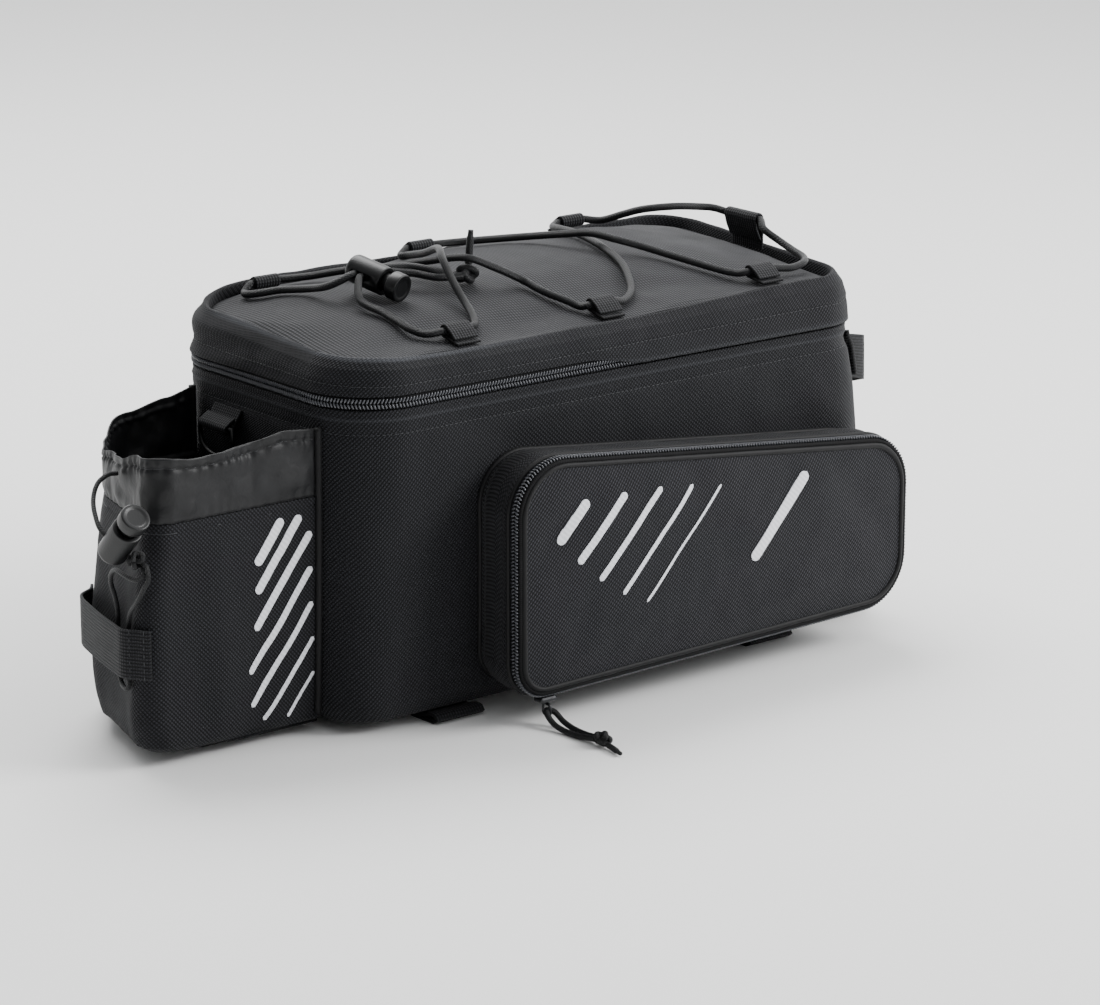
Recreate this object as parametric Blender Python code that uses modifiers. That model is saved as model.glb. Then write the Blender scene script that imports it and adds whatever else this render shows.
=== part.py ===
"""Trunk bag for a bicycle's rear carrier, resting on its two flat bottom straps.

X runs along the bag with its front end at +X, Y runs across it with the near side at -Y,
and Z is up from the surface that the bag rests on. Lengths are in metres.
"""
import math

import bmesh
import bpy
from mathutils import Matrix, Vector

# Main body, measured at the zip that closes the lid
GAP = 0.0003
BODY_LENGTH = 0.340
BODY_WIDTH = 0.165
BODY_HEIGHT = 0.165
BODY_WALL = 0.004
FRONT_LEAN = 0.020
REAR_LEAN = 0.004
SIDE_BULGE = 0.003
BOTTOM_ROUND = 0.010
REAR_RADIUS_TOP = 0.038
REAR_RADIUS_BOTTOM = 0.026
FRONT_RADIUS = 0.030

# Lid: zip, standing band with a soft rim, and crowned top panel
ZIP_WIDTH = 0.0064
ZIP_THICKNESS = 0.0024
ZIP_SETBACK = 0.0008
LID_RIM_HEIGHT = 0.0197
LID_FAR_RISE = 0.0085
LID_NEAR_SAG = 0.004
LID_REAR_DIP = 0.55
LID_INSET = 0.006
LID_WALL = 0.0035
PANEL_THICKNESS = 0.003
PANEL_CROWN = 0.010
PANEL_DROP = 0.006
PANEL_NEAR_DROP = 0.12
PANEL_NEAR_FALL = 1.4
PANEL_FAR_FALL = 0.6

# Zipped side pockets
POCKET_LENGTH = 0.262
POCKET_REAR_TOP = 0.136
POCKET_FRONT_TOP = 0.107
POCKET_REAR_BOTTOM = 0.0115
POCKET_FRONT_BOTTOM = 0.0165
POCKET_START = 0.097
POCKET_DEPTH = 0.031
POCKET_WALL = 0.002
POCKET_PUFF = 0.002
POCKET_TAPER = 0.0035
POCKET_RADIUS = 0.028
POCKET_TOE_RADIUS = 0.018
FACE_THICKNESS = 0.003
FACE_CROWN = 0.004

# Bottle pocket at the rear
BOTTLE_REACH = 0.103
BOTTLE_HALF = 0.0575
BOTTLE_BOTTOM = 0.003
BOTTLE_WALL = 0.002
HEM_HEIGHT = 0.118
COLLAR_HEIGHT = 0.033
COLLAR_WALL = 0.0012
COLLAR_RIPPLE = 0.003
BOTTLE_SWELL = 0.003

# Webbing, straps, handle and loops
WEBBING_THICKNESS = 0.0012
HANDLE_WIDTH = 0.025
HANDLE_THICKNESS = 0.002
HANDLE_HEIGHT = 0.141
HANDLE_HALF_SPAN = 0.066
HANDLE_REACH = 0.024
HANDLE_DROOP = 0.015
STRAP_WIDTH = 0.030
STRAP_THICKNESS = 0.0016
STRAP_HALF_REACH = 0.078
STRAP_LAP = 0.042
STRAP_FOLD = 0.0085
REAR_STRAP_X = -0.108
FRONT_STRAP_X = 0.100
LOOP_WIDTH = 0.015
LOOP_REACH = 0.0125
LOOP_FOOT = 0.0035
NEAR_LOOPS = (-0.090, 0.003, 0.111)
FAR_LOOPS = (-0.121, -0.021, 0.081)
END_LOOP_WIDTH = 0.025
END_LOOP_HEIGHT = 0.0185
END_LOOP_Y = 0.003
RING_TAB_Y = 0.022
RING_TAB_HEIGHT = 0.148
RING_TAB_WIDTH = 0.024
RING_TAB_REACH = 0.013
RING_WIRE = 0.0024
RING_DROP = 0.016
BAND_WIDTH = 0.025
BAND_HEIGHT = 0.055
BAND_THICKNESS = 0.0015
BAND_STAND = 0.0052
BAND_START = 0.360
BAND_END = 0.68

# Cords and cord locks
BUNGEE_DIAMETER = 0.0040
DRAW_DIAMETER = 0.0024
PULL_CORD_DIAMETER = 0.0030
LOCK_DIAMETER = 0.0150
LOCK_LENGTH = 0.0225
LOCK_ROUND = 0.0030
LOCK_CLEARANCE = 0.0003
LOCK_BORE_DEPTH = 0.0065
LOCK_EDGE = 0.0006
BUTTON_DIAMETER = 0.0148
BUTTON_THICKNESS = 0.0065
BUTTON_DISH = 0.0005
BUTTON_STEM = 0.0096
BUTTON_TRAVEL = 0.0040
LOCK_HOLE_PLACE = 0.0095
LANE_GAP = 0.0006
KNOT_RADIUS = 0.0056
KNOT_LENGTH = 0.0110
BUNGEE_END_LENGTH = 0.021
DRAW_KNOT_RADIUS = 0.0052
DRAW_KNOT_LENGTH = 0.0070
PULL_KNOT_RADIUS = 0.0042
PULL_KNOT_LENGTH = 0.0090
PULL_CORD_REACH = 0.040
PULL_END_LENGTH = 0.014

# Zip sliders and the pull ring
SLIDER_LENGTH = 0.0100
SLIDER_WIDTH = 0.0072
SLIDER_HEIGHT = 0.0028
SLIDER_X = -0.078
PULL_RING = 0.0058
PULL_WIRE = 0.0014

# Cord locks: middle of the barrel's closed end, direction to the button, direction of the hole.
# The lid's lock lies on the cord's runs, so its place is a plan point and a height over the panel.
BUNGEE_LOCK_SPOT = (-0.1001, 0.0129)
BUNGEE_LOCK_LIFT = 0.01319
BUNGEE_LOCK_AXIS = (0.255, -0.935, -0.220)
BUNGEE_LOCK_HOLE = (0.965, 0.263, 0.0)
BOTTLE_LOCK_PLACE = (-0.2835, -0.0415, 0.1085)
BOTTLE_LOCK_AXIS = (0.00, -0.70, 0.71)
BOTTLE_LOCK_HOLE = (-0.45, 0.62, 0.64)

# Places worked out from the sizes above
BASE = 2 * STRAP_THICKNESS + 2 * GAP
ZIP_BOTTOM = BODY_HEIGHT - ZIP_WIDTH / 2
ZIP_TOP = BODY_HEIGHT + ZIP_WIDTH / 2
SHELL_HEIGHT = ZIP_BOTTOM - GAP
BAND_BOTTOM = ZIP_TOP + GAP
HALF_LENGTH = BODY_LENGTH / 2
HALF_WIDTH = BODY_WIDTH / 2
HANDLE_FRONT = HALF_LENGTH + FRONT_LEAN * 0.3 + HANDLE_REACH

# Height as a share of the shell's; the rest are shares of the lean, the bulge and the rounding
BODY_SECTIONS = (
    # height, lean, bulge, inset
    (0.000, 1.00, 0.00, 1.00),
    (0.018, 1.00, 0.10, 0.30),
    (0.062, 0.97, 0.30, 0.00),
    (0.300, 0.76, 0.80, 0.00),
    (0.570, 0.51, 1.00, 0.00),
    (0.780, 0.31, 0.70, 0.00),
    (0.900, 0.12, 0.30, 0.00),
    (0.945, -0.07, 0.05, 0.00),
    (0.980, 0.00, 0.00, 0.00),
    (1.000, 0.00, 0.00, 0.00),
)

# Height as a share of the band's; inset as a share of the lid's; swell as a share of the bulge
BAND_SECTIONS = (
    # height, inset, swell
    (0.00, 0.00, 0.0),
    (0.10, 0.00, 0.0),
    (0.40, 0.12, 0.5),
    (0.72, 0.45, 0.5),
    (1.00, 1.00, 0.0),
)

# How far the top panel lies below the far rim, along the lid from -1 at the rear to 1 at the front
PANEL_EDGE = (
    # along, drop share
    (-1.00, 1.00),
    (-0.40, 0.85),
    (0.00, 0.15),
    (0.50, 0.10),
    (0.80, 0.60),
    (1.00, 1.00),
)

# Side pocket's wall: depth as a share of the pocket's, puff as a share of the wall's puff
GUSSET_SECTIONS = (
    # depth, puff
    (0.00, 0.0),
    (0.25, 0.8),
    (0.60, 1.0),
    (0.88, 0.3),
    (0.96, 0.0),
    (1.00, 0.0),
)

# Plan of the bottle pocket: shares of its reach, half width and half width again
BOTTLE_CORNERS = (
    # reach, across, radius
    (0.00, -1.00, 0.00),
    (1.00, -0.99, 0.20),
    (0.83, 0.18, 0.55),
    (0.55, 0.93, 0.45),
    (0.00, 0.92, 0.00),
)

# Bottle pocket's wall: height as a share of the hem's, shrink of the plan, swell as a share
BOTTLE_SECTIONS = (
    # height, shrink, swell
    (0.000, 0.07, 0.0),
    (0.030, 0.02, 0.1),
    (0.120, 0.00, 0.5),
    (0.450, 0.00, 1.0),
    (0.800, 0.02, 0.6),
    (1.000, 0.04, 0.0),
)

# How far the light loop stands off the pocket along its own length
BAND_STANDS = (
    # along, stand share
    (0.00, 0.0),
    (0.06, 0.0),
    (0.15, 0.9),
    (0.40, 1.0),
    (0.80, 0.9),
    (0.94, 0.0),
    (1.00, 0.0),
)

# The bungee cord's strands in order. Each is a row for every bend: share of the lid's half length,
# share of its half width, and height over the panel in cord diameters. The last word of a strand
# names the loop or lock that the cord goes through next, and the sign gives its way along X.
BUNGEE_STRANDS = (
    # along, across, lift
    (((-0.372, -0.050, 2.20), (-0.430, 0.045, 2.60)), "lane_1", -1),
    (((-0.690, 0.120, 1.90), (-0.700, 0.330, 0.90), (-0.735, 0.500, 0.68), (-0.778, 0.585, 0.68),
      (-0.800, 0.665, 0.68), (-0.790, 0.728, 0.68)), "far_lid_loop_1", 1),
    (((-0.580, 0.640, 0.80), (-0.501, 0.470, 1.25), (-0.402, 0.266, 1.60), (-0.332, 0.061, 2.60),
      (-0.279, -0.155, 3.80), (-0.198, -0.230, 2.50), (-0.118, -0.300, 0.90),
      (-0.095, -0.460, 0.68), (-0.063, -0.600, 0.68), (-0.045, -0.690, 0.68)),
     "near_lid_loop_2", 1),
    (((0.115, -0.720, 0.68), (0.175, -0.640, 0.68), (0.225, -0.496, 0.68), (0.278, -0.272, 0.70),
      (0.319, 0.062, 0.70), (0.350, 0.352, 0.70), (0.365, 0.560, 0.70), (0.385, 0.690, 0.70)),
     "far_lid_loop_3", 1),
    (((0.580, 0.680, 0.95), (0.615, 0.540, 2.00), (0.650, 0.420, 3.00), (0.740, 0.330, 3.70),
      (0.840, 0.300, 4.00), (0.883, 0.258, 4.20)), "end_lid_loop", -1),
    (((0.900, -0.200, 3.60), (0.918, -0.310, 2.80), (0.920, -0.440, 2.20), (0.900, -0.590, 1.80),
      (0.850, -0.700, 1.40), (0.780, -0.738, 0.95)), "near_lid_loop_3", -1),
    (((0.565, -0.650, 0.70), (0.474, -0.371, 0.88), (0.398, -0.177, 1.38), (0.337, -0.073, 1.95),
      (0.292, 0.072, 2.20), (0.245, 0.249, 1.50), (0.160, 0.462, 0.88), (0.020, 0.690, 0.70)),
     "far_lid_loop_2", -1),
    (((-0.212, 0.705, 0.70), (-0.208, 0.620, 0.80), (-0.225, 0.420, 1.55), (-0.262, 0.200, 3.10),
      (-0.318, 0.000, 4.20), (-0.358, -0.140, 4.00), (-0.375, -0.290, 2.30),
      (-0.385, -0.430, 0.95), (-0.405, -0.560, 0.68), (-0.438, -0.680, 0.68)),
     "near_lid_loop_1", -1),
    (((-0.625, -0.690, 0.68), (-0.648, -0.600, 0.68), (-0.652, -0.480, 0.70),
      (-0.655, -0.344, 0.75), (-0.668, -0.150, 1.20)), "lane_2", 1),
    (((-0.430, -0.015, 2.00), (-0.372, -0.125, 1.65)), "bungee_knot", 1),
)
BUNGEE_KNOT = (-0.268, -0.144, 1.52)

# The draw cord: where it leaves the hem, its bends down to the lock, and the loop below its knot
DRAW_EXIT = (-0.2646, -0.0195, 0.141)
DRAW_BENDS = (
    # x, y, z
    (-0.2700, -0.0192, 0.1410),
    (-0.2765, -0.0205, 0.1380),
    (-0.2820, -0.0250, 0.1325),
    (-0.2862, -0.0330, 0.1265),
)
DRAW_LOOP = (
    # y, z, distance off the pocket's wall in cord diameters
    (-0.0588, 0.1002, 2.90),
    (-0.0545, 0.0978, 3.50),
    (-0.0470, 0.0985, 3.60),
    (-0.0390, 0.0992, 3.90),
    (-0.0325, 0.0962, 3.90),
    (-0.0288, 0.0900, 3.30),
    (-0.0280, 0.0820, 1.95),
    (-0.0283, 0.0740, 1.15),
    (-0.0290, 0.0660, 1.05),
    (-0.0300, 0.0560, 1.05),
    (-0.0315, 0.0480, 1.12),
    (-0.0360, 0.0415, 1.50),
    (-0.0430, 0.0405, 1.65),
    (-0.0455, 0.0425, 1.25),
    (-0.0430, 0.0500, 1.00),
    (-0.0420, 0.0600, 1.00),
    (-0.0425, 0.0700, 1.00),
    (-0.0460, 0.0785, 1.45),
    (-0.0535, 0.0860, 2.40),
    (-0.0585, 0.0930, 2.50),
    (-0.0615, 0.0990, 2.25),
)

# Mouth of the bottle pocket along its plan, from the near side round to the far side
RIM_FOLDS = (
    # along, height share, ripple share
    (0.00, 1.03, 0.0),
    (0.08, 1.08, 0.6),
    (0.16, 0.98, -0.5),
    (0.27, 0.92, 0.3),
    (0.35, 0.98, -0.3),
    (0.42, 0.94, -0.6),
    (0.50, 0.78, 0.4),
    (0.58, 0.70, -0.6),
    (0.66, 0.60, 0.5),
    (0.75, 0.62, -0.4),
    (0.85, 0.80, 0.4),
    (0.93, 0.95, -0.2),
    (1.00, 1.05, 0.0),
)


def material(name, colour, roughness, metallic=0.0):
    """Principled material with one colour."""
    made = bpy.data.materials.new(name)
    made.use_nodes = True
    shader = made.node_tree.nodes["Principled BSDF"]
    shader.inputs["Base Color"].default_value = (*colour, 1.0)
    shader.inputs["Roughness"].default_value = roughness
    shader.inputs["Metallic"].default_value = metallic
    return made


for old in list(bpy.data.objects):
    bpy.data.objects.remove(old, do_unlink=True)

parts = bpy.data.collections.new("trunk_bag")
cutters = bpy.data.collections.new("cutters")
bpy.context.scene.collection.children.link(parts)
bpy.context.scene.collection.children.link(cutters)

# The whole bag hangs from one empty, which is moved last to set its middle over the origin
bag = bpy.data.objects.new("bag_origin", None)
parts.objects.link(bag)

CANVAS = ((0.012, 0.012, 0.013), 0.85)
NYLON = ((0.018, 0.018, 0.020), 0.55)
TAPE = ((0.010, 0.010, 0.010), 0.80)
COIL = ((0.016, 0.016, 0.017), 0.40)
WEBBING = ((0.010, 0.010, 0.011), 0.75)
HARD_PLASTIC = ((0.014, 0.014, 0.015), 0.45)
CORD_YARN = ((0.012, 0.012, 0.013), 0.70)


def add_object(name, data, finish):
    """Object in the bag's collection, under the bag's empty."""
    made = bpy.data.objects.new(name, data)
    parts.objects.link(made)
    made.parent = bag
    data.materials.append(material(name, *finish))
    return made


def mesh_object(name, vertices, faces, finish):
    """Object from a skin's corners and faces, with doubled corners merged."""
    mesh = bpy.data.meshes.new(name)
    mesh.from_pydata([tuple(v) for v in vertices], [], faces)
    body = bmesh.new()
    body.from_mesh(mesh)
    bmesh.ops.remove_doubles(body, verts=body.verts, dist=0.00001)
    body.to_mesh(mesh)
    body.free()
    mesh.shade_smooth()
    mesh.set_sharp_from_angle(angle=math.radians(40))
    return add_object(name, mesh, finish)


def solidify(thing, thickness, offset=-1.0):
    """Gives an open skin its wall."""
    wall = thing.modifiers.new("wall", "SOLIDIFY")
    wall.thickness = thickness
    wall.offset = offset
    wall.use_even_offset = True
    return thing


def blend(low, high, share):
    return low + (high - low) * share


def smooth(share):
    share = min(max(share, 0.0), 1.0)
    return share * share * (3 - 2 * share)


def table_value(table, column, where):
    """Smooth reading of one column of a table whose first column rises."""
    for row, after in zip(table, table[1:]):
        if where <= after[0]:
            share = (where - row[0]) / (after[0] - row[0])
            return blend(row[column], after[column], smooth(share))
    return table[-1][column]


def table_line(table, column, where):
    """Straight-line reading of one column of a table whose first column rises."""
    for row, after in zip(table, table[1:]):
        if where <= after[0]:
            return blend(row[column], after[column], (where - row[0]) / (after[0] - row[0]))
    return table[-1][column]


def rounded_path(corners, radii, closed, arc_steps=4, side_steps=3):
    """Polygon with round corners, read as points; an open path keeps its two ends sharp."""
    count = len(corners)
    pieces = []
    for i, corner in enumerate(corners):
        here = Vector(corner)
        if not closed and i in (0, count - 1):
            pieces.append([here])
            continue
        before = (Vector(corners[i - 1]) - here).normalized()
        after = (Vector(corners[(i + 1) % count]) - here).normalized()
        half = before.angle(after) / 2
        reach = radii[i] / math.tan(half)
        centre = here + (before + after).normalized() * (radii[i] / math.sin(half))
        start = here + before * reach - centre
        end = here + after * reach - centre
        turn = math.pi - 2 * half
        side = math.copysign(1.0, start.x * end.y - start.y * end.x)
        arc = []
        for k in range(arc_steps + 1):
            angle = side * turn * k / arc_steps
            arc.append(centre + Matrix.Rotation(angle, 2) @ start)
        pieces.append(arc)
    path = []
    for i, piece in enumerate(pieces):
        path.extend(piece)
        if not closed and i == count - 1:
            break
        end = pieces[(i + 1) % count][0]
        path.extend(piece[-1].lerp(end, k / side_steps) for k in range(1, side_steps))
    return path


def loft_faces(rows, count, closed, flip=False):
    """Quads between rows of equal length; closed rows join their last point to their first."""
    faces = []
    for row in range(rows - 1):
        for i in range(count if closed else count - 1):
            a = row * count + i
            b = row * count + (i + 1) % count
            face = (a, b, b + count, a + count)
            faces.append(face[::-1] if flip else face)
    return faces


def loft(name, rings, finish, closed=True, flip=False, floor=False):
    """Skin through rings of points, with the first ring filled from its middle if it is a floor."""
    count = len(rings[0])
    vertices = [point for ring in rings for point in ring]
    faces = loft_faces(len(rings), count, closed, flip)
    if floor:
        middle = sum((Vector(p) for p in rings[0]), Vector()) / count
        vertices.append(middle)
        hub = len(vertices) - 1
        for i in range(count):
            face = (hub, (i + 1) % count, i)
            faces.append(face[::-1] if flip else face)
    return mesh_object(name, vertices, faces, finish)


def ribbon(name, path, width, thickness, frame, finish):
    """Strap: a flat path in the frame's XY plane, extruded along its Z and given a thickness."""
    curve = bpy.data.curves.new(name, "CURVE")
    curve.dimensions = "2D"
    curve.fill_mode = "NONE"
    curve.extrude = width / 2
    spline = curve.splines.new("POLY")
    spline.points.add(len(path) - 1)
    for point, (x, y) in zip(spline.points, path):
        point.co = (x, y, 0.0, 1.0)
    source = bpy.data.objects.new(name + "_path", curve)
    parts.objects.link(source)
    bpy.context.view_layer.update()
    graph = bpy.context.evaluated_depsgraph_get()
    mesh = bpy.data.meshes.new_from_object(source.evaluated_get(graph))
    bpy.data.objects.remove(source, do_unlink=True)
    bpy.data.curves.remove(curve)
    mesh.name = name
    mesh.transform(frame)
    made = add_object(name, mesh, finish)
    return solidify(made, thickness, 0.0)


def frame_at(origin, along, normal):
    """Matrix whose X is along, Y is the part of normal square to it, and Z is across."""
    x = Vector(along).normalized()
    z = x.cross(Vector(normal)).normalized()
    y = z.cross(x)
    matrix = Matrix((x, y, z)).transposed().to_4x4()
    matrix.translation = Vector(origin)
    return matrix


def arc_points(centre, radius, start, end, steps):
    """Points of an arc between two angles in degrees."""
    points = []
    for k in range(steps + 1):
        angle = math.radians(blend(start, end, k / steps))
        points.append((centre[0] + radius * math.cos(angle), centre[1] + radius * math.sin(angle)))
    return points


def smooth_curve(points, limit, before=None, after=None, sharpness=1.8):
    """Smooth curve through chosen points, read closer together where it bends.

    The points before and after the curve set the way in which it starts and ends."""
    knots = [Vector(p) for p in points]
    first = Vector(before) if before else knots[0] * 2 - knots[1]
    last = Vector(after) if after else knots[-1] * 2 - knots[-2]
    knots = [first] + knots + [last]
    dense = []
    for i in range(1, len(knots) - 2):
        a, b, c, d = knots[i - 1:i + 3]
        for k in range(12):
            t = k / 12
            dense.append(0.5 * (2 * b + (c - a) * t + (2 * a - 5 * b + 4 * c - d) * t ** 2
                                + (3 * b - a - 3 * c + d) * t ** 3))
    dense.append(knots[-2])
    effort = [0.0]
    for i in range(1, len(dense)):
        step = dense[i] - dense[i - 1]
        turn = 0.0
        if i > 1 and step.length > 0 and (dense[i - 1] - dense[i - 2]).length > 0:
            turn = step.angle(dense[i - 1] - dense[i - 2])
        effort.append(effort[-1] + step.length * 100 + turn * sharpness)
    picked = [dense[0]]
    count = limit - 1
    place = 1
    for k in range(1, count):
        goal = effort[-1] * k / count
        while effort[place] < goal:
            place += 1
        share = (goal - effort[place - 1]) / (effort[place] - effort[place - 1])
        picked.append(dense[place - 1].lerp(dense[place], share))
    picked.append(dense[-1])
    return picked


def tube(name, path, diameter, finish, closed=False):
    """Round cord or wire along a path."""
    curve = bpy.data.curves.new(name, "CURVE")
    curve.dimensions = "3D"
    curve.bevel_depth = diameter / 2
    curve.bevel_resolution = 2
    curve.use_fill_caps = not closed
    spline = curve.splines.new("POLY")
    spline.use_cyclic_u = closed
    spline.points.add(len(path) - 1)
    for point, place in zip(spline.points, path):
        point.co = (*place, 1.0)
    return add_object(name, curve, finish)


def turned(name, profile, frame, finish, steps=16):
    """Closed turned shape about the frame's Z: profile rows are (radius, height), top to bottom."""
    mesh = bpy.data.meshes.new(name)
    mesh.from_pydata([(r, 0.0, h) for r, h in profile], [(i, i + 1) for i in range(len(profile) - 1)], [])
    made = add_object(name, mesh, finish)
    made.matrix_local = frame
    spin = made.modifiers.new("turn", "SCREW")
    spin.axis = "Z"
    spin.steps = steps
    spin.render_steps = steps
    spin.use_merge_vertices = True
    spin.merge_threshold = 0.00001
    spin.use_smooth_shade = True
    return made


def body_inset(height):
    """Lean, bulge and rounding of the body at a height above its bottom."""
    share = height / SHELL_HEIGHT
    return [table_line(BODY_SECTIONS, column, share) for column in (1, 2, 3)]


def body_outline(height, inset=0.0):
    """Plan of the body at a height, from the near rear corner round by the front."""
    lean, bulge, rounding = body_inset(height)
    inset += rounding * BOTTOM_ROUND
    rear = -HALF_LENGTH - REAR_LEAN * max(lean, 0.0) + inset
    front = HALF_LENGTH + FRONT_LEAN * lean - inset
    side = HALF_WIDTH - inset
    rear_radius = blend(REAR_RADIUS_BOTTOM, REAR_RADIUS_TOP, height / SHELL_HEIGHT) - inset
    front_radius = FRONT_RADIUS - inset
    corners = ((rear, -side), (front, -side), (front, side), (rear, side))
    radii = (rear_radius, front_radius, front_radius, rear_radius)
    outline = rounded_path(corners, radii, closed=True, arc_steps=5, side_steps=4)
    swell = SIDE_BULGE * bulge
    return [Vector((p.x, p.y * (1 + swell / HALF_WIDTH * side_share(p.x)))) for p in outline]


def side_share(x):
    """How far along the side's bulge a place is: full in the middle, none at the ends."""
    return max(0.0, 1 - (x / HALF_LENGTH) ** 2)


def body_side(x, height):
    """Distance of the body's side from the middle plane."""
    lean, bulge, rounding = body_inset(height)
    flat = HALF_WIDTH - rounding * BOTTOM_ROUND
    swell = SIDE_BULGE * bulge * side_share(x)
    radius = FRONT_RADIUS
    edge = HALF_LENGTH + FRONT_LEAN * lean - radius
    if x > edge:
        flat -= radius - math.sqrt(max(radius ** 2 - (x - edge) ** 2, 0.0))
    return flat + swell


def body_rear(y, height):
    """X of the body's rear face, round corners included."""
    lean, bulge, rounding = body_inset(height)
    inset = rounding * BOTTOM_ROUND
    radius = blend(REAR_RADIUS_BOTTOM, REAR_RADIUS_TOP, height / SHELL_HEIGHT) - inset
    rear = -HALF_LENGTH - REAR_LEAN * max(lean, 0.0) + inset
    edge = HALF_WIDTH - inset - radius
    over = max(abs(y) - edge, 0.0)
    return rear + radius - math.sqrt(max(radius ** 2 - over ** 2, 0.0))


def pocket_seat(y, height, wall):
    """X where a wall of the bottle pocket ends against the body's rear face."""
    return body_rear(max(abs(y) - wall, 0.0), max(height, BOTTOM_ROUND)) - GAP


def body_front(height):
    """X of the body's front face."""
    lean = body_inset(height)[0]
    return HALF_LENGTH + FRONT_LEAN * lean


def make_body():
    rings = []
    for height, lean, bulge, inset in BODY_SECTIONS:
        z = BASE + height * SHELL_HEIGHT
        rings.append([(p.x, p.y, z) for p in body_outline(height * SHELL_HEIGHT)])
    solidify(loft("body_shell", rings, CANVAS, floor=True), BODY_WALL)


def make_lid_zip():
    outline = body_outline(SHELL_HEIGHT, ZIP_SETBACK)
    rings = [[(p.x, p.y, BASE + z) for p in outline] for z in (ZIP_BOTTOM, ZIP_TOP)]
    solidify(loft("lid_zip", rings, TAPE), ZIP_THICKNESS)


def rim_height(x, y):
    """Height of the lid's rim above the body's bottom: it sags along the near side."""
    across = (y / HALF_WIDTH + 1) / 2
    along = x / HALF_LENGTH + 0.28
    sag = LID_NEAR_SAG * (1 - smooth(across * 1.6)) * max(0.0, 1 - (along / 0.9) ** 2)
    rise = LID_FAR_RISE * smooth(across) * (1 - LID_REAR_DIP * smooth((-x / HALF_LENGTH - 0.70) / 0.28))
    return BAND_BOTTOM + LID_RIM_HEIGHT + rise - sag


def make_lid_band():
    rings = []
    for height, inset, swell in BAND_SECTIONS:
        outline = body_outline(SHELL_HEIGHT, inset * LID_INSET - swell * SIDE_BULGE * 0.4)
        ring = []
        for p in outline:
            top = rim_height(p.x, p.y)
            ring.append((p.x, p.y, BASE + blend(BAND_BOTTOM, top, height)))
        rings.append(ring)
    solidify(loft("lid_band", rings, CANVAS), LID_WALL)


def panel_height(x, y):
    """Height of the lid's top panel above the body's bottom."""
    u = x / (HALF_LENGTH - LID_INSET - LID_WALL)
    v = y / (HALF_WIDTH - LID_INSET - LID_WALL)
    far = smooth((v + 1) / 2) * table_value(PANEL_EDGE, 1, u)
    drop = PANEL_DROP * max(PANEL_NEAR_DROP, far, min(abs(u), 1.0) ** 8)
    fullness = PANEL_NEAR_FALL if v < 0 else PANEL_FAR_FALL
    crown = PANEL_CROWN * (1 - min(abs(u), 1.0) ** 4) * (1 - min(abs(v), 1.0) ** 2) ** fullness
    return rim_height(x, y) - drop + crown


def make_lid_panel():
    edge = body_outline(SHELL_HEIGHT, LID_INSET + LID_WALL + GAP)
    rings = []
    for share in (0.16, 0.42, 0.66, 0.85, 0.95, 1.0):
        ring = []
        for p in edge:
            x = p.x * share
            y = p.y * share
            ring.append((x, y, BASE + panel_height(x, y)))
        rings.append(ring)
    solidify(loft("lid_panel", rings, CANVAS, flip=True, floor=True), PANEL_THICKNESS)


def pocket_outline(inset, drop=0.0):
    """Side pocket's outline in X and Z, smaller by an inset, from the rear bottom corner forward."""
    rear = -POCKET_START + inset
    front = -POCKET_START + POCKET_LENGTH - inset
    corners = (
        (rear, POCKET_REAR_BOTTOM + inset),
        (front, POCKET_FRONT_BOTTOM + inset),
        (front, POCKET_FRONT_TOP - inset + drop),
        (rear, POCKET_REAR_TOP - inset + drop),
    )
    radii = (POCKET_TOE_RADIUS - inset, POCKET_RADIUS - inset, POCKET_RADIUS - inset,
             POCKET_RADIUS - inset)
    return rounded_path(corners, radii, closed=True, arc_steps=5, side_steps=2)


def make_side_pocket(prefix, side):
    """Wall, zip and face of one side pocket; side is -1 on the near side and 1 on the far side."""
    flip = side > 0
    rings = []
    for depth, puff in GUSSET_SECTIONS:
        inset = blend(POCKET_TAPER, 0.0, depth) - puff * POCKET_PUFF
        ring = []
        for p in pocket_outline(inset):
            seat = body_side(p.x, p.y) + GAP
            y = side * blend(seat, HALF_WIDTH + POCKET_DEPTH, depth)
            ring.append((p.x, y, BASE + p.y))
        rings.append(ring)
    gusset = loft(prefix + "_pocket_gusset", rings, CANVAS, flip=not flip)
    solidify(gusset, POCKET_WALL, 1.0 if gusset_faces_in(gusset) else -1.0)
    start = HALF_WIDTH + POCKET_DEPTH + GAP
    rings = []
    for step in (0.0, 1.0):
        y = side * (start + step * ZIP_WIDTH)
        rings.append([(p.x, y, BASE + p.y) for p in pocket_outline(0.0)])
    track = loft(prefix + "_pocket_zip", rings, TAPE, flip=not flip)
    solidify(track, ZIP_THICKNESS, 1.0 if gusset_faces_in(track) else -1.0)
    edge = pocket_outline(ZIP_THICKNESS + GAP)
    centre = sum(edge, Vector((0.0, 0.0))) / len(edge)
    rings = []
    for share in (0.30, 0.62, 0.85, 0.97, 1.0):
        y = side * (start + ZIP_WIDTH + FACE_CROWN * (1 - min(share / 0.97, 1.0) ** 3))
        rings.append([(*(centre.lerp(p, share)), y) for p in edge])
    rings = [[(x, y, BASE + z) for x, z, y in ring] for ring in rings]
    face = loft(prefix + "_pocket_face", rings, CANVAS, flip=flip, floor=True)
    solidify(face, FACE_THICKNESS, 1.0)


def gusset_faces_in(ring):
    """True where a ring-shaped skin's faces point at its own middle."""
    mesh = ring.data
    middle = sum((v.co for v in mesh.vertices), Vector()) / len(mesh.vertices)
    face = mesh.polygons[0]
    flat = face.center - middle
    flat.y = 0.0
    return face.normal.dot(flat) < 0


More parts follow.
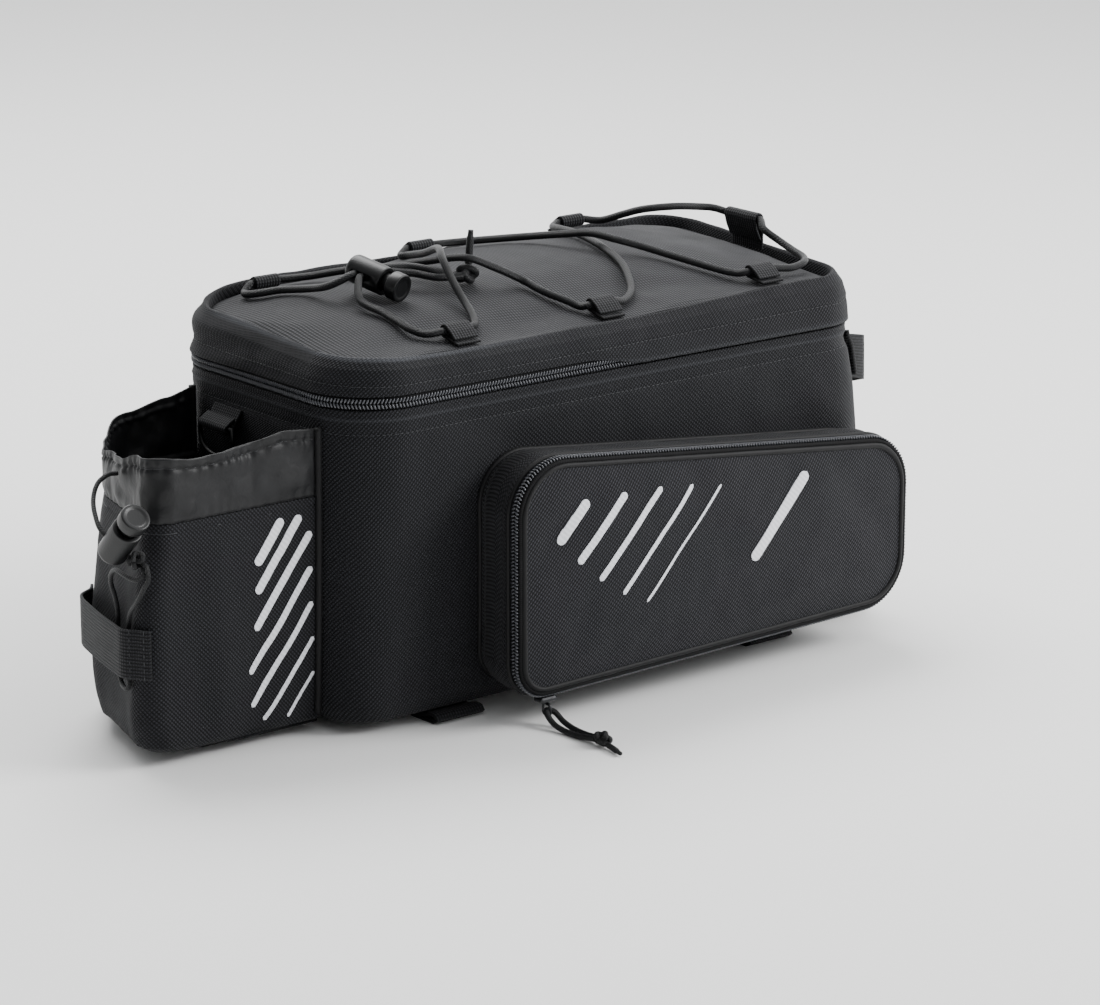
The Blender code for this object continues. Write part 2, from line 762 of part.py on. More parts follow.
def bottle_plan(shrink, height):
    """Plan of the bottle pocket at a height: a path from the near side of the body to the far."""
    corners = []
    radii = []
    for reach, across, radius in BOTTLE_CORNERS:
        y = across * BOTTLE_HALF * (1 - shrink * 0.5)
        back = pocket_seat(y, height, BOTTLE_WALL)
        corners.append((back - reach * BOTTLE_REACH * (1 - shrink), y))
        radii.append(radius * BOTTLE_HALF)
    return rounded_path(corners, radii, closed=False, arc_steps=5, side_steps=6)


def path_shares(path):
    """Share of the path's length at each of its points."""
    lengths = [0.0]
    for before, after in zip(path, path[1:]):
        lengths.append(lengths[-1] + (after - before).length)
    return [length / lengths[-1] for length in lengths]


def swollen(path, amount):
    """Path pushed outwards between its ends."""
    shares = path_shares(path)
    centre = Vector(((path[0].x + path[-1].x) / 2 - BOTTLE_REACH / 2, 0.0))
    moved = []
    for p, share in zip(path, shares):
        away = (p - centre).normalized()
        moved.append(p + away * amount * math.sin(math.pi * share))
    return moved


def make_bottle_pocket():
    rings = []
    for height, shrink, swell in BOTTLE_SECTIONS:
        level = BOTTLE_BOTTOM + height * (HEM_HEIGHT - BOTTLE_BOTTOM)
        path = swollen(bottle_plan(shrink, level), swell * BOTTLE_SWELL)
        rings.append([(p.x, p.y, BASE + level) for p in path])
    floor_rows = []
    for share in (0.0, 0.35, 0.7):
        row = []
        for x, y, z in rings[0]:
            back = pocket_seat(y, BOTTLE_BOTTOM, BOTTLE_WALL)
            row.append((blend(back, x, share), y, z))
        floor_rows.append(row)
    wall = loft("bottle_pocket_wall", floor_rows + rings, CANVAS, closed=False, flip=True)
    solidify(wall, BOTTLE_WALL, -1.0)


def collar_point(path, shares, i, height):
    """Point of the nylon collar, gathered and rippled towards its rim."""
    p = path[i]
    rise = table_value(RIM_FOLDS, 1, shares[i]) * COLLAR_HEIGHT
    ripple = table_value(RIM_FOLDS, 2, shares[i]) * COLLAR_RIPPLE * height
    centre = Vector((path[0].x - BOTTLE_REACH / 2, 0.0))
    away = (p - centre).normalized()
    return p + away * ripple, rise * height


def make_collar():
    level = HEM_HEIGHT + GAP
    path = bottle_plan(BOTTLE_SECTIONS[-1][1], HEM_HEIGHT)
    shares = path_shares(path)
    rings = []
    for height in (0.0, 0.35, 0.7, 1.0):
        ring = []
        for i in range(len(path)):
            p, rise = collar_point(path, shares, i, height)
            back = pocket_seat(p.y, level + rise, COLLAR_WALL + COLLAR_RIPPLE)
            ring.append((min(p.x, back), p.y, BASE + level + rise))
        rings.append(ring)
    collar = loft("bottle_pocket_collar", rings, NYLON, closed=False, flip=True)
    solidify(collar, COLLAR_WALL, -1.0)


def make_straps():
    """Two pairs of hook-and-loop straps, closed flat beneath the bag."""
    upper = BASE - GAP - STRAP_THICKNESS / 2
    lower = STRAP_THICKNESS / 2
    for name, x in (("rear", REAR_STRAP_X), ("front", FRONT_STRAP_X)):
        frame = frame_at((x, 0.0, 0.0), (0, 1, 0), (0, 0, 1))
        near = (
            (-STRAP_HALF_REACH + 0.018, upper),
            (-STRAP_HALF_REACH + 0.004, upper),
            (-STRAP_HALF_REACH - STRAP_FOLD * 0.24, upper + 0.0021),
            (-STRAP_HALF_REACH - STRAP_FOLD * 0.75, upper + 0.0020),
            (-STRAP_HALF_REACH - STRAP_FOLD, upper + 0.0001),
            (-STRAP_HALF_REACH - STRAP_FOLD * 0.65, lower + 0.0002),
            (-STRAP_HALF_REACH + 0.002, lower),
            (STRAP_LAP, lower),
        )
        ribbon(name + "_strap_near", near, STRAP_WIDTH, STRAP_THICKNESS, frame, WEBBING)
        far = ((STRAP_HALF_REACH, upper), (STRAP_LAP, upper), (0.0, upper),
               (-STRAP_HALF_REACH + 0.018 + 0.003, upper))
        ribbon(name + "_strap_far", far, STRAP_WIDTH, STRAP_THICKNESS, frame, WEBBING)


def make_handle():
    """Carrying handle: webbing sewn flat to the front face at both ends."""
    rows = (
        # along the half span, reach share, droop share
        (1.00, 0.00, 0.0),
        (0.90, 0.00, 0.1),
        (0.84, 0.30, 0.3),
        (0.76, 0.80, 0.6),
        (0.62, 1.00, 0.8),
        (0.30, 1.00, 1.0),
        (0.00, 0.97, 1.0),
    )
    half = [(share * HANDLE_HALF_SPAN, reach, droop) for share, reach, droop in rows]
    path = [(-y, reach, droop) for y, reach, droop in half] + [half_row for half_row in half[-2::-1]]
    rings = []
    for offset in (-HANDLE_WIDTH / 2, 0.0, HANDLE_WIDTH / 2):
        ring = []
        for y, reach, droop in path:
            z = HANDLE_HEIGHT - droop * HANDLE_DROOP + offset
            seat = body_front(HANDLE_HEIGHT + offset) + GAP + HANDLE_THICKNESS / 2
            stand = blend(seat, HANDLE_FRONT - HANDLE_THICKNESS / 2, smooth(reach))
            seat_limit = body_front(z) + GAP + HANDLE_THICKNESS / 2
            ring.append((max(stand, seat_limit), y, BASE + z))
        rings.append(ring)
    handle = loft("front_handle", rings, WEBBING, closed=False)
    solidify(handle, HANDLE_THICKNESS, 0.0)


def loop_profile(reach, cord_radius, foot):
    """Side view of a folded webbing loop: out from its seam, round the cord and back to a foot."""
    low = 3 * GAP + WEBBING_THICKNESS / 2
    radius = cord_radius + GAP + WEBBING_THICKNESS / 2
    centre = (reach, low + radius)
    path = [(foot * 0.2, low), (reach * 0.5, low)]
    path += arc_points(centre, radius, -90, 90, 6)
    path += [(blend(foot, reach, 0.5), low + radius * 1.45)]
    path += [(foot, low + WEBBING_THICKNESS + GAP)]
    return path, centre


def panel_frame(x, y, inward):
    """Frame on the lid's panel: X up the slope towards the middle, Y out of the panel."""
    here = Vector((x, y, BASE + panel_height(x, y)))
    there_y = y + inward * LOOP_REACH
    there = Vector((x, there_y, BASE + panel_height(x, there_y)))
    return frame_at(here, there - here, (0, 0, 1))


def make_lid_loops():
    """Six webbing loops sewn in along the lid's seams, and one that stands at the front end.

    Returns each eye's middle, the way through it and half its width."""
    eyes = {}
    seam = HALF_WIDTH - LID_INSET - LID_WALL - 3 * GAP
    for name, y, places in (("near", -seam, NEAR_LOOPS), ("far", seam, FAR_LOOPS)):
        for number, x in enumerate(places, start=1):
            frame = panel_frame(x, y, -math.copysign(1, y))
            path, eye = loop_profile(LOOP_REACH, BUNGEE_DIAMETER / 2, LOOP_FOOT)
            title = f"{name}_lid_loop_{number}"
            ribbon(title, path, LOOP_WIDTH, WEBBING_THICKNESS, frame, WEBBING)
            eyes[title] = (frame @ Vector((*eye, 0.0)), Vector((1.0, 0.0, 0.0)), LOOP_WIDTH / 2)
    x = HALF_LENGTH - LID_INSET - LID_WALL - 2 * GAP
    seat = panel_height(x - 2 * WEBBING_THICKNESS, END_LOOP_Y)
    here = Vector((x, END_LOOP_Y, BASE + seat + GAP))
    frame = frame_at(here, (0.0, 0.0, 1.0), (-1, 0, 0))
    path, eye = loop_profile(END_LOOP_HEIGHT, BUNGEE_DIAMETER / 2, 2 * LOOP_FOOT)
    ribbon("end_lid_loop", path, END_LOOP_WIDTH, WEBBING_THICKNESS, frame, WEBBING)
    eyes["end_lid_loop"] = (frame @ Vector((*eye, 0.0)), Vector((0.0, 1.0, 0.0)), END_LOOP_WIDTH / 2)
    return eyes


def make_ring_tab():
    """Webbing tab on the rear face with a D-shaped ring hanging from its fold."""
    face = body_rear(RING_TAB_Y, RING_TAB_HEIGHT) + WEBBING_THICKNESS
    here = Vector((face, RING_TAB_Y, BASE + RING_TAB_HEIGHT))
    frame = frame_at(here, (-0.55, 0.0, -0.84), (-0.84, 0.0, 0.55))
    path, eye = loop_profile(RING_TAB_REACH, RING_WIRE / 2, 2 * LOOP_FOOT)
    ribbon("rear_ring_tab", path, RING_TAB_WIDTH, WEBBING_THICKNESS, frame, WEBBING)
    middle = frame @ Vector((eye[0], eye[1], 0.0))
    half = RING_TAB_WIDTH / 2 + RING_WIRE
    outline = [(-half, 0.0), (half, 0.0), (half, -RING_DROP * 0.4)]
    outline += [(half * math.cos(a), -RING_DROP * (0.4 + 0.6 * math.sin(a)))
                for a in (math.pi * k / 8 for k in range(1, 8))]
    outline.append((-half, -RING_DROP * 0.4))
    wire = [(middle.x, middle.y + y, middle.z + z) for y, z in outline]
    tube("rear_ring", wire, RING_WIRE, HARD_PLASTIC, closed=True)


def bottle_wall_path(level):
    """Outer plan of the bottle pocket's wall at a height below the hem."""
    share = (level - BOTTLE_BOTTOM) / (HEM_HEIGHT - BOTTLE_BOTTOM)
    shrink = table_line(BOTTLE_SECTIONS, 1, share)
    swell = table_line(BOTTLE_SECTIONS, 2, share)
    return swollen(bottle_plan(shrink, level), swell * BOTTLE_SWELL)


def off_wall(y, z, stand):
    """Point in front of the bottle pocket's outer face, a number of cord diameters off it."""
    path = bottle_wall_path(z - BASE)
    level = max(y, -BOTTLE_HALF * 0.87)
    ahead = [i for i in range(1, len(path)) if path[i - 1].y < level <= path[i].y]
    before, after = path[ahead[0] - 1], path[ahead[0]]
    x = blend(before.x, after.x, (level - before.y) / (after.y - before.y))
    return Vector((x - stand * DRAW_DIAMETER, y, z))


def make_light_loop():
    """Webbing band sewn across the bottle pocket's outer face, standing off it for a lamp's clip.

    Returns its rearmost X."""
    wall = bottle_wall_path(BAND_HEIGHT)
    shares = path_shares(wall)
    centre = Vector(((wall[0].x - BOTTLE_REACH / 2), 0.0))
    seat = 2 * GAP + BAND_THICKNESS / 2
    path = []
    steps = 18
    for k in range(steps + 1):
        along = k / steps
        share = blend(BAND_START, BAND_END, along)
        place = next(i for i, at in enumerate(shares) if at >= share)
        part_way = (share - shares[place - 1]) / (shares[place] - shares[place - 1])
        p = wall[place - 1].lerp(wall[place], part_way)
        side = (wall[min(place + 1, len(wall) - 1)] - wall[place - 2]).normalized()
        out = Vector((side.y, -side.x))
        if out.dot(p - centre) < 0:
            out = -out
        stand = BAND_STAND * table_value(BAND_STANDS, 1, along)
        path.append(tuple(p + out * (seat + stand)))
    frame = Matrix.Translation((0.0, 0.0, BASE + BAND_HEIGHT))
    ribbon("light_loop", path, BAND_WIDTH, BAND_THICKNESS, frame, WEBBING)
    return min(x for x, y in path) - BAND_THICKNESS / 2


def lock_frame(place, axis, hole):
    """Frame of a cord lock: Z along the barrel to the button, X along the hole for the cord."""
    z = Vector(axis).normalized()
    x = Vector(hole)
    x = (x - z * x.dot(z)).normalized()
    frame = Matrix((x, z.cross(x), z)).transposed().to_4x4()
    frame.translation = Vector(place)
    return frame


def lock_lanes(diameter):
    """Heights in the barrel of its two runs of cord."""
    half = (diameter + LANE_GAP) / 2
    return LOCK_HOLE_PLACE - half, LOCK_HOLE_PLACE + half


def make_lock(prefix, frame, diameter):
    """Barrel with a cross hole for two runs of cord, and the round button that slides in its bore."""
    radius = LOCK_DIAMETER / 2
    bore = BUTTON_STEM / 2 + LOCK_CLEARANCE
    inner = LOCK_LENGTH - LOCK_BORE_DEPTH
    profile = [(0.0, inner), (bore, inner), (bore, LOCK_LENGTH), (radius - LOCK_EDGE, LOCK_LENGTH),
               (radius, LOCK_LENGTH - LOCK_EDGE)]
    profile += arc_points((radius - LOCK_ROUND, LOCK_ROUND), LOCK_ROUND, 0, -90, 3)
    profile.append((0.0, 0.0))
    barrel = turned(prefix + "_lock_barrel", profile, frame, HARD_PLASTIC)
    low, high = lock_lanes(diameter)
    width = diameter / 2 + LOCK_CLEARANCE
    outline = arc_points((0.0, high), width, 0, 180, 6) + arc_points((0.0, low), width, 180, 360, 6)
    shape = bmesh.new()
    face = shape.faces.new([shape.verts.new((-LOCK_DIAMETER, y, z)) for y, z in outline])
    moved = bmesh.ops.extrude_face_region(shape, geom=[face])
    corners = [v for v in moved["geom"] if isinstance(v, bmesh.types.BMVert)]
    bmesh.ops.translate(shape, verts=corners, vec=(2 * LOCK_DIAMETER, 0.0, 0.0))
    bmesh.ops.recalc_face_normals(shape, faces=shape.faces)
    slot = bpy.data.meshes.new(prefix + "_lock_hole")
    shape.to_mesh(slot)
    shape.free()
    cutter = bpy.data.objects.new(prefix + "_lock_hole", slot)
    cutters.objects.link(cutter)
    cutter.parent = bag
    cutter.matrix_local = frame
    cutter.hide_render = True
    cutter.display_type = "WIRE"
    cut = barrel.modifiers.new("cord_hole", "BOOLEAN")
    cut.object = cutter
    cut.operation = "DIFFERENCE"
    cut.solver = "EXACT"
    head = BUTTON_DIAMETER / 2
    stem = BUTTON_STEM / 2
    foot = inner + BUTTON_TRAVEL + LOCK_CLEARANCE
    neck = LOCK_LENGTH + BUTTON_TRAVEL + LOCK_CLEARANCE
    top = neck + BUTTON_THICKNESS
    profile = [(0.0, top - BUTTON_DISH), (head * 0.62, top - BUTTON_DISH), (head * 0.78, top),
               (head - LOCK_EDGE, top), (head, top - LOCK_EDGE), (head, neck), (stem, neck),
               (stem, foot), (0.0, foot)]
    turned(prefix + "_lock_button", profile, frame, HARD_PLASTIC)


def knot_solid(name, centre, axis, radius, length):
    """Plain round solid of a knot's outer shape, flat where its cords enter."""
    frame = frame_at(centre, axis, (0.0, 0.1, 1.0)) @ Matrix.Rotation(math.pi / 2, 4, "Y")
    half = length / 2
    profile = [(0.0, half), (radius * 0.80, half), (radius * 0.96, half * 0.6), (radius, 0.0),
               (radius * 0.96, -half * 0.6), (radius * 0.80, -half), (0.0, -half)]
    turned(name, profile, frame, CORD_YARN, steps=12)


def lid_point(along, across, lift):
    """Point over the lid's panel, from shares of its size and a height in cord diameters."""
    x = along * HALF_LENGTH
    y = across * HALF_WIDTH
    return Vector((x, y, BASE + panel_height(x, y) + lift * BUNGEE_DIAMETER))


def make_bungee(eyes, frame):
    """One elastic cord laced through the lid's loops and its lock, and the knot of its two ends."""
    turn = frame.to_3x3()
    across = turn @ Vector((1.0, 0.0, 0.0))
    for name, height in zip(("lane_1", "lane_2"), lock_lanes(BUNGEE_DIAMETER)):
        eyes[name] = (frame @ Vector((0.0, 0.0, height)), across, LOCK_DIAMETER / 2)
    knot = lid_point(*BUNGEE_KNOT)
    face = knot - Vector((KNOT_LENGTH / 2 + GAP, 0.0, 0.0))
    offset = Vector((0.0, (BUNGEE_DIAMETER + GAP) / 2, 0.0))
    eyes["bungee_knot"] = (face - offset, Vector((1.0, 0.0, 0.0)), 0.0)
    start = face + offset
    lead = start - Vector((BUNGEE_DIAMETER, 0.0, 0.0))
    path = [start]
    before, here = start, lead
    for rows, name, way in BUNGEE_STRANDS:
        middle, along, half = eyes[name]
        along = along * way
        clear = half + BUNGEE_DIAMETER / 4
        entry = middle - along * clear
        inside = middle - along * half * 0.5
        points = [here] + [lid_point(*row) for row in rows] + [entry]
        length = sum((b - a).length for a, b in zip(points, points[1:]))
        path += smooth_curve(points, 5 + round(length / 0.017), before, inside)
        before = middle + along * half * 0.5
        here = middle + along * clear
    path.append(face - offset)
    tube("bungee_cord", path, BUNGEE_DIAMETER, CORD_YARN)
    knot_solid("bungee_knot", knot, (1.0, 0.0, 0.0), KNOT_RADIUS, KNOT_LENGTH)
    foot = knot + Vector((BUNGEE_DIAMETER, KNOT_RADIUS + BUNGEE_DIAMETER / 2 + GAP, 0.0))
    lean = Vector((0.1, 0.0, 1.0)).normalized() * BUNGEE_END_LENGTH
    tube("bungee_end", [foot, foot + lean], BUNGEE_DIAMETER, CORD_YARN)


def make_draw_cord(frame):
    """Draw cord of the bottle pocket: out of the hem, through its lock, and knotted into a loop."""
    turn = frame.to_3x3()
    along = turn @ Vector((1.0, 0.0, 0.0))
    axis = turn @ Vector((0.0, 0.0, 1.0))
    low, high = lock_lanes(DRAW_DIAMETER)
    entry = frame @ Vector((LOCK_DIAMETER / 2 + DRAW_DIAMETER / 2, 0.0, low))
    drop = LOCK_DIAMETER / 2 + 2 * GAP + DRAW_KNOT_LENGTH / 2
    knot = frame @ Vector((-drop, 0.0, (low + high) / 2))
    top = knot + along * (DRAW_KNOT_LENGTH / 2 + GAP) - axis * (high - low) / 2
    path = smooth_curve([DRAW_EXIT, *DRAW_BENDS, entry], 20, None, top)
    tube("bottle_draw_cord", path + [top], DRAW_DIAMETER, CORD_YARN)
    knot_solid("bottle_draw_knot", knot, along, DRAW_KNOT_RADIUS, DRAW_KNOT_LENGTH)
    under = knot - along * (DRAW_KNOT_LENGTH / 2 + GAP)
    lane = axis * (DRAW_DIAMETER + GAP) / 2
    lead = along * DRAW_DIAMETER
    bends = [off_wall(*row) for row in DRAW_LOOP]
    path = [under - lane] + smooth_curve([under - lane - lead, *bends, under + lane - lead], 46)
    tube("bottle_draw_loop", path + [under + lane], DRAW_DIAMETER, CORD_YARN)


def slider(name, place, turn):
    """Zip slider: a small block over the coil, its length along the zip."""
    half = Vector((SLIDER_LENGTH, SLIDER_WIDTH, SLIDER_HEIGHT)) / 2
    shape = bmesh.new()
    bmesh.ops.create_cube(shape, size=2.0, matrix=Matrix.Diagonal((*half, 1.0)))
    mesh = bpy.data.meshes.new(name)
    shape.to_mesh(mesh)
    shape.free()
    made = add_object(name, mesh, HARD_PLASTIC)
    made.location = place
    made.rotation_euler = turn
    edge = made.modifiers.new("edges", "BEVEL")
    edge.width = SLIDER_HEIGHT * 0.28
    edge.segments = 1


def make_sliders():
    """Sliders of the three zips, and the near one's ring with its knotted cord pull."""
    zip_y = HALF_WIDTH + POCKET_DEPTH + GAP + ZIP_WIDTH / 2
    under = BASE + POCKET_REAR_BOTTOM - 2 * GAP - SLIDER_HEIGHT / 2
    slider("near_zip_slider", (SLIDER_X, -zip_y, under), (0.0, 0.0, 0.0))
    slider("far_zip_slider", (SLIDER_X, zip_y, under), (0.0, 0.0, 0.0))
    lid_y = HALF_WIDTH - ZIP_SETBACK + GAP * 3 + SLIDER_HEIGHT / 2
    slider("lid_zip_slider", (SLIDER_X, lid_y, BASE + BODY_HEIGHT), (math.pi / 2, 0.0, 0.0))
    ring_z = under - SLIDER_HEIGHT / 2 - GAP - (PULL_RING + PULL_WIRE) / 2
    ring_y = -zip_y - PULL_WIRE
    half = PULL_RING / 2
    corners = ((-half, -half), (half, -half), (half, half), (-half, half))
    outline = rounded_path(corners, [half * 0.6] * 4, closed=True, arc_steps=2, side_steps=1)
    wire = [(SLIDER_X, ring_y + y, ring_z + z) for y, z in outline]
    tube("near_zip_pull", wire, PULL_WIRE, HARD_PLASTIC, closed=True)
    floor = PULL_CORD_DIAMETER / 2 + GAP
    lane = (PULL_CORD_DIAMETER + GAP) / 2
    knot = Vector((SLIDER_X, ring_y - PULL_CORD_REACH - PULL_KNOT_LENGTH / 2, PULL_KNOT_RADIUS + GAP / 2))
    end = knot.y + PULL_KNOT_LENGTH / 2 + GAP
    side = (
        # reach, spread, rise
        (0.085, 1.55, 0.80),
        (0.240, 1.90, 0.25),
        (0.450, 1.75, 0.00),
        (0.700, 1.40, 0.00),
        (0.900, 1.00, 0.15),
    )
    strand = [Vector((spread * lane, ring_y - reach * PULL_CORD_REACH, blend(floor, ring_z, rise)))
              for reach, spread, rise in side]
    strand.append(Vector((lane, end, blend(floor, knot.z, 0.6))))
    route = [Vector((SLIDER_X - p.x, p.y, p.z)) for p in strand[::-1]]
    route.append(Vector((SLIDER_X, ring_y - GAP, ring_z)))
    route += [Vector((SLIDER_X + p.x, p.y, p.z)) for p in strand]
    tube("near_pull_cord", smooth_curve(route, 30), PULL_CORD_DIAMETER, CORD_YARN)
    knot_solid("near_pull_knot", knot, (0.0, 1.0, 0.0), PULL_KNOT_RADIUS, PULL_KNOT_LENGTH)
    foot = knot - Vector((0.0, PULL_KNOT_LENGTH / 2 + GAP, knot.z - floor - GAP))
    tube("near_pull_end", [foot, foot - Vector((0.003, PULL_END_LENGTH, GAP))], PULL_CORD_DIAMETER,
         CORD_YARN)


make_body()
make_lid_zip()
make_lid_band()
make_lid_panel()
make_side_pocket("near", -1)
make_side_pocket("far", 1)
make_bottle_pocket()
make_collar()
make_straps()
make_handle()
loop_eyes = make_lid_loops()
make_ring_tab()
rearmost = make_light_loop()
lock_x, lock_y = BUNGEE_LOCK_SPOT
lock_place = (lock_x, lock_y, BASE + panel_height(lock_x, lock_y) + BUNGEE_LOCK_LIFT)
bungee_lock = lock_frame(lock_place, BUNGEE_LOCK_AXIS, BUNGEE_LOCK_HOLE)
make_lock("bungee", bungee_lock, BUNGEE_DIAMETER)
make_bungee(loop_eyes, bungee_lock)
bottle_lock = lock_frame(BOTTLE_LOCK_PLACE, BOTTLE_LOCK_AXIS, BOTTLE_LOCK_HOLE)
make_lock("bottle", bottle_lock, DRAW_DIAMETER)
make_draw_cord(bottle_lock)
make_sliders()
bag.location.x = -(HANDLE_FRONT + rearmost) / 2
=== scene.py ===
import math

import bmesh
import bpy
import numpy as np
from mathutils import Matrix, Vector, noise


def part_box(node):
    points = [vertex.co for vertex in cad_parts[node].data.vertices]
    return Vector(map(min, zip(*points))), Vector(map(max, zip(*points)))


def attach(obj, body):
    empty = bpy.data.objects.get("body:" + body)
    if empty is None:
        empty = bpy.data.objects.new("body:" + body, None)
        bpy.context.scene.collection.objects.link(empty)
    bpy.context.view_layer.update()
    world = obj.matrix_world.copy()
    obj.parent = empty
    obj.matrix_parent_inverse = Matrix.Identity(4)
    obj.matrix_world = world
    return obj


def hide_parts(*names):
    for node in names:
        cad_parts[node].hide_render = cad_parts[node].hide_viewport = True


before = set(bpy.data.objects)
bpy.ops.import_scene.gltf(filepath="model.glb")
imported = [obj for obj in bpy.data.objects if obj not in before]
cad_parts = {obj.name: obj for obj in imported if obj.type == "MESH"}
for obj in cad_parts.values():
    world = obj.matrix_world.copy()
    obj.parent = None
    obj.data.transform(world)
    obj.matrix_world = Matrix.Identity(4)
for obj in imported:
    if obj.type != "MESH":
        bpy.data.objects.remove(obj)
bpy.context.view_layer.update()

# Lengths are in metres. Shapes are worked out about the middle of the bag's body at the lid zip,
# and each mesh is then set at its place along X in the frame, whose zip ring gives that middle.
zip_low, zip_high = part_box("lid_zip")
MIDDLE = (zip_low.x + zip_high.x) / 2
GAP = 0.0003


# Studio: a camera at the photograph's angle and distance, a pale floor and wide soft lights.
# The key light is high behind the bag, so that the lid is brighter than the sides.
CAMERA_AZIMUTH = math.radians(-38.5)
CAMERA_ELEVATION = math.radians(15.5)
CAMERA_DISTANCE = 2.18475
CAMERA_TARGET = Vector((0.01825 + MIDDLE, 0.0, 0.0732))
FOCAL_SHARE = 4100 / 1100
SENSOR = 36.0

back = Vector((math.sin(CAMERA_AZIMUTH) * math.cos(CAMERA_ELEVATION),
               -math.cos(CAMERA_AZIMUTH) * math.cos(CAMERA_ELEVATION), math.sin(CAMERA_ELEVATION)))
lens = bpy.data.cameras.new("camera")
lens.sensor_width = SENSOR
lens.lens = FOCAL_SHARE * SENSOR
camera = bpy.data.objects.new("camera", lens)
camera.location = CAMERA_TARGET + back * CAMERA_DISTANCE
camera.rotation_mode = "QUATERNION"
camera.rotation_quaternion = (-back).to_track_quat("-Z", "Y")
bpy.context.scene.collection.objects.link(camera)
bpy.context.scene.camera = camera


def linear(code):
    """Linear colour from an sRGB hex value."""
    parts = [int(code[i:i + 2], 16) / 255 for i in (1, 3, 5)]
    return tuple(p / 12.92 if p <= 0.04045 else ((p + 0.055) / 1.055) ** 2.4 for p in parts) + (1.0,)


def plug(node, inputs):
    """Fills a node's sockets, each with a value or with another node's output."""
    for socket, value in dict(inputs).items():
        if isinstance(value, bpy.types.NodeSocket):
            node.id_data.links.new(value, node.inputs[socket])
        else:
            node.inputs[socket].default_value = value


def add(tree, kind, inputs=(), **settings):
    """Adds a node with its settings and its inputs, and returns it."""
    made = tree.nodes.new(kind)
    for key, value in settings.items():
        setattr(made, key, value)
    plug(made, inputs)
    return made


SHEEN_ROUGHNESS = 0.45


def finish(name, colour, roughness, sheen=0.0, specular=0.5, metallic=0.0):
    """Material with its shader's own constants; returns it with its tree and its shader."""
    made = bpy.data.materials.new(name)
    made.use_nodes = True
    shader = made.node_tree.nodes["Principled BSDF"]
    plug(shader, {"Base Color": linear(colour), "Roughness": roughness, "Sheen Weight": sheen,
                  "Sheen Roughness": SHEEN_ROUGHNESS, "Specular IOR Level": specular,
                  "Metallic": metallic})
    return made, made.node_tree, shader


def bump(tree, shader, height, distance, strength=1.0):
    """Relief of a shader from another node's output, over a distance in metres."""
    relief = add(tree, "ShaderNodeBump", {"Height": height, "Distance": distance, "Strength": strength})
    plug(shader, {"Normal": relief.outputs["Normal"]})


def grain(tree, shader, scale, detail, distance, strength, twist=0.0):
    """Fine grain in relief from noise on the piece's Object coordinates; returns their node."""
    spot = add(tree, "ShaderNodeTexCoord")
    speck = add(tree, "ShaderNodeTexNoise", {"Vector": spot.outputs["Object"], "Scale": scale,
                                             "Detail": detail, "Distortion": twist})
    bump(tree, shader, speck.outputs["Fac"], distance, strength)
    return spot


def two_tones(tree, shader, share, dark, light):
    """Base colour of a shader between two hex values, by another node's output."""
    tone = add(tree, "ShaderNodeMix", {"Factor": share, "A": linear(dark), "B": linear(light)},
               data_type="RGBA")
    plug(shader, {"Base Color": tone.outputs["Result"]})


FLOOR_SIZE = 12.0
floor_material, floor_tree, floor_shader = finish("painted_studio_floor", "#f4f4f3", 0.9, specular=0.1)
floor_grain = add(floor_tree, "ShaderNodeTexNoise", {"Scale": 40.0, "Detail": 3.0})
bump(floor_tree, floor_shader, floor_grain.outputs["Fac"], 0.0002, 0.2)
bpy.ops.mesh.primitive_plane_add(size=FLOOR_SIZE, location=(0.0, 0.0, 0.0))
floor = bpy.context.object
floor.name = "floor"
floor.data.materials.append(floor_material)

# The sky is brighter ahead of the bag than behind it, so its rear end is the darker one.
WORLD_STRENGTH = 1.12
WORLD_LEAN = (0.88, 0.26, 0.0)
world = bpy.data.worlds.new("studio")
world.use_nodes = True
world_tree = world.node_tree
world_ray = add(world_tree, "ShaderNodeTexCoord")
world_side = add(world_tree, "ShaderNodeVectorMath", {0: world_ray.outputs["Generated"], 1: WORLD_LEAN},
                 operation="DOT_PRODUCT")
world_light = add(world_tree, "ShaderNodeMath",
                  {0: world_side.outputs["Value"], 1: WORLD_STRENGTH, 2: WORLD_STRENGTH},
                  operation="MULTIPLY_ADD")
plug(world_tree.nodes["Background"], {"Color": linear("#f6f7f8"), "Strength": world_light.outputs["Value"]})
bpy.context.scene.world = world

LIGHT_AIM = Vector((0.0, 0.0, 0.1))
LIGHTS = (
    # name, place, width, height, watts
    ("key_light", (0.30, 1.05, 1.85), 1.6, 1.2, 51.0),
    ("front_light", (1.30, -1.15, 1.10), 1.0, 0.8, 36.0),
)
for name, place, width, height, watts in LIGHTS:
    light = bpy.data.lights.new(name, "AREA")
    light.shape = "RECTANGLE"
    light.size = width
    light.size_y = height
    light.energy = watts
    lamp = bpy.data.objects.new(name, light)
    lamp.location = place
    lamp.rotation_mode = "QUATERNION"
    lamp.rotation_quaternion = (LIGHT_AIM - lamp.location).to_track_quat("-Z", "Y")
    bpy.context.scene.collection.objects.link(lamp)


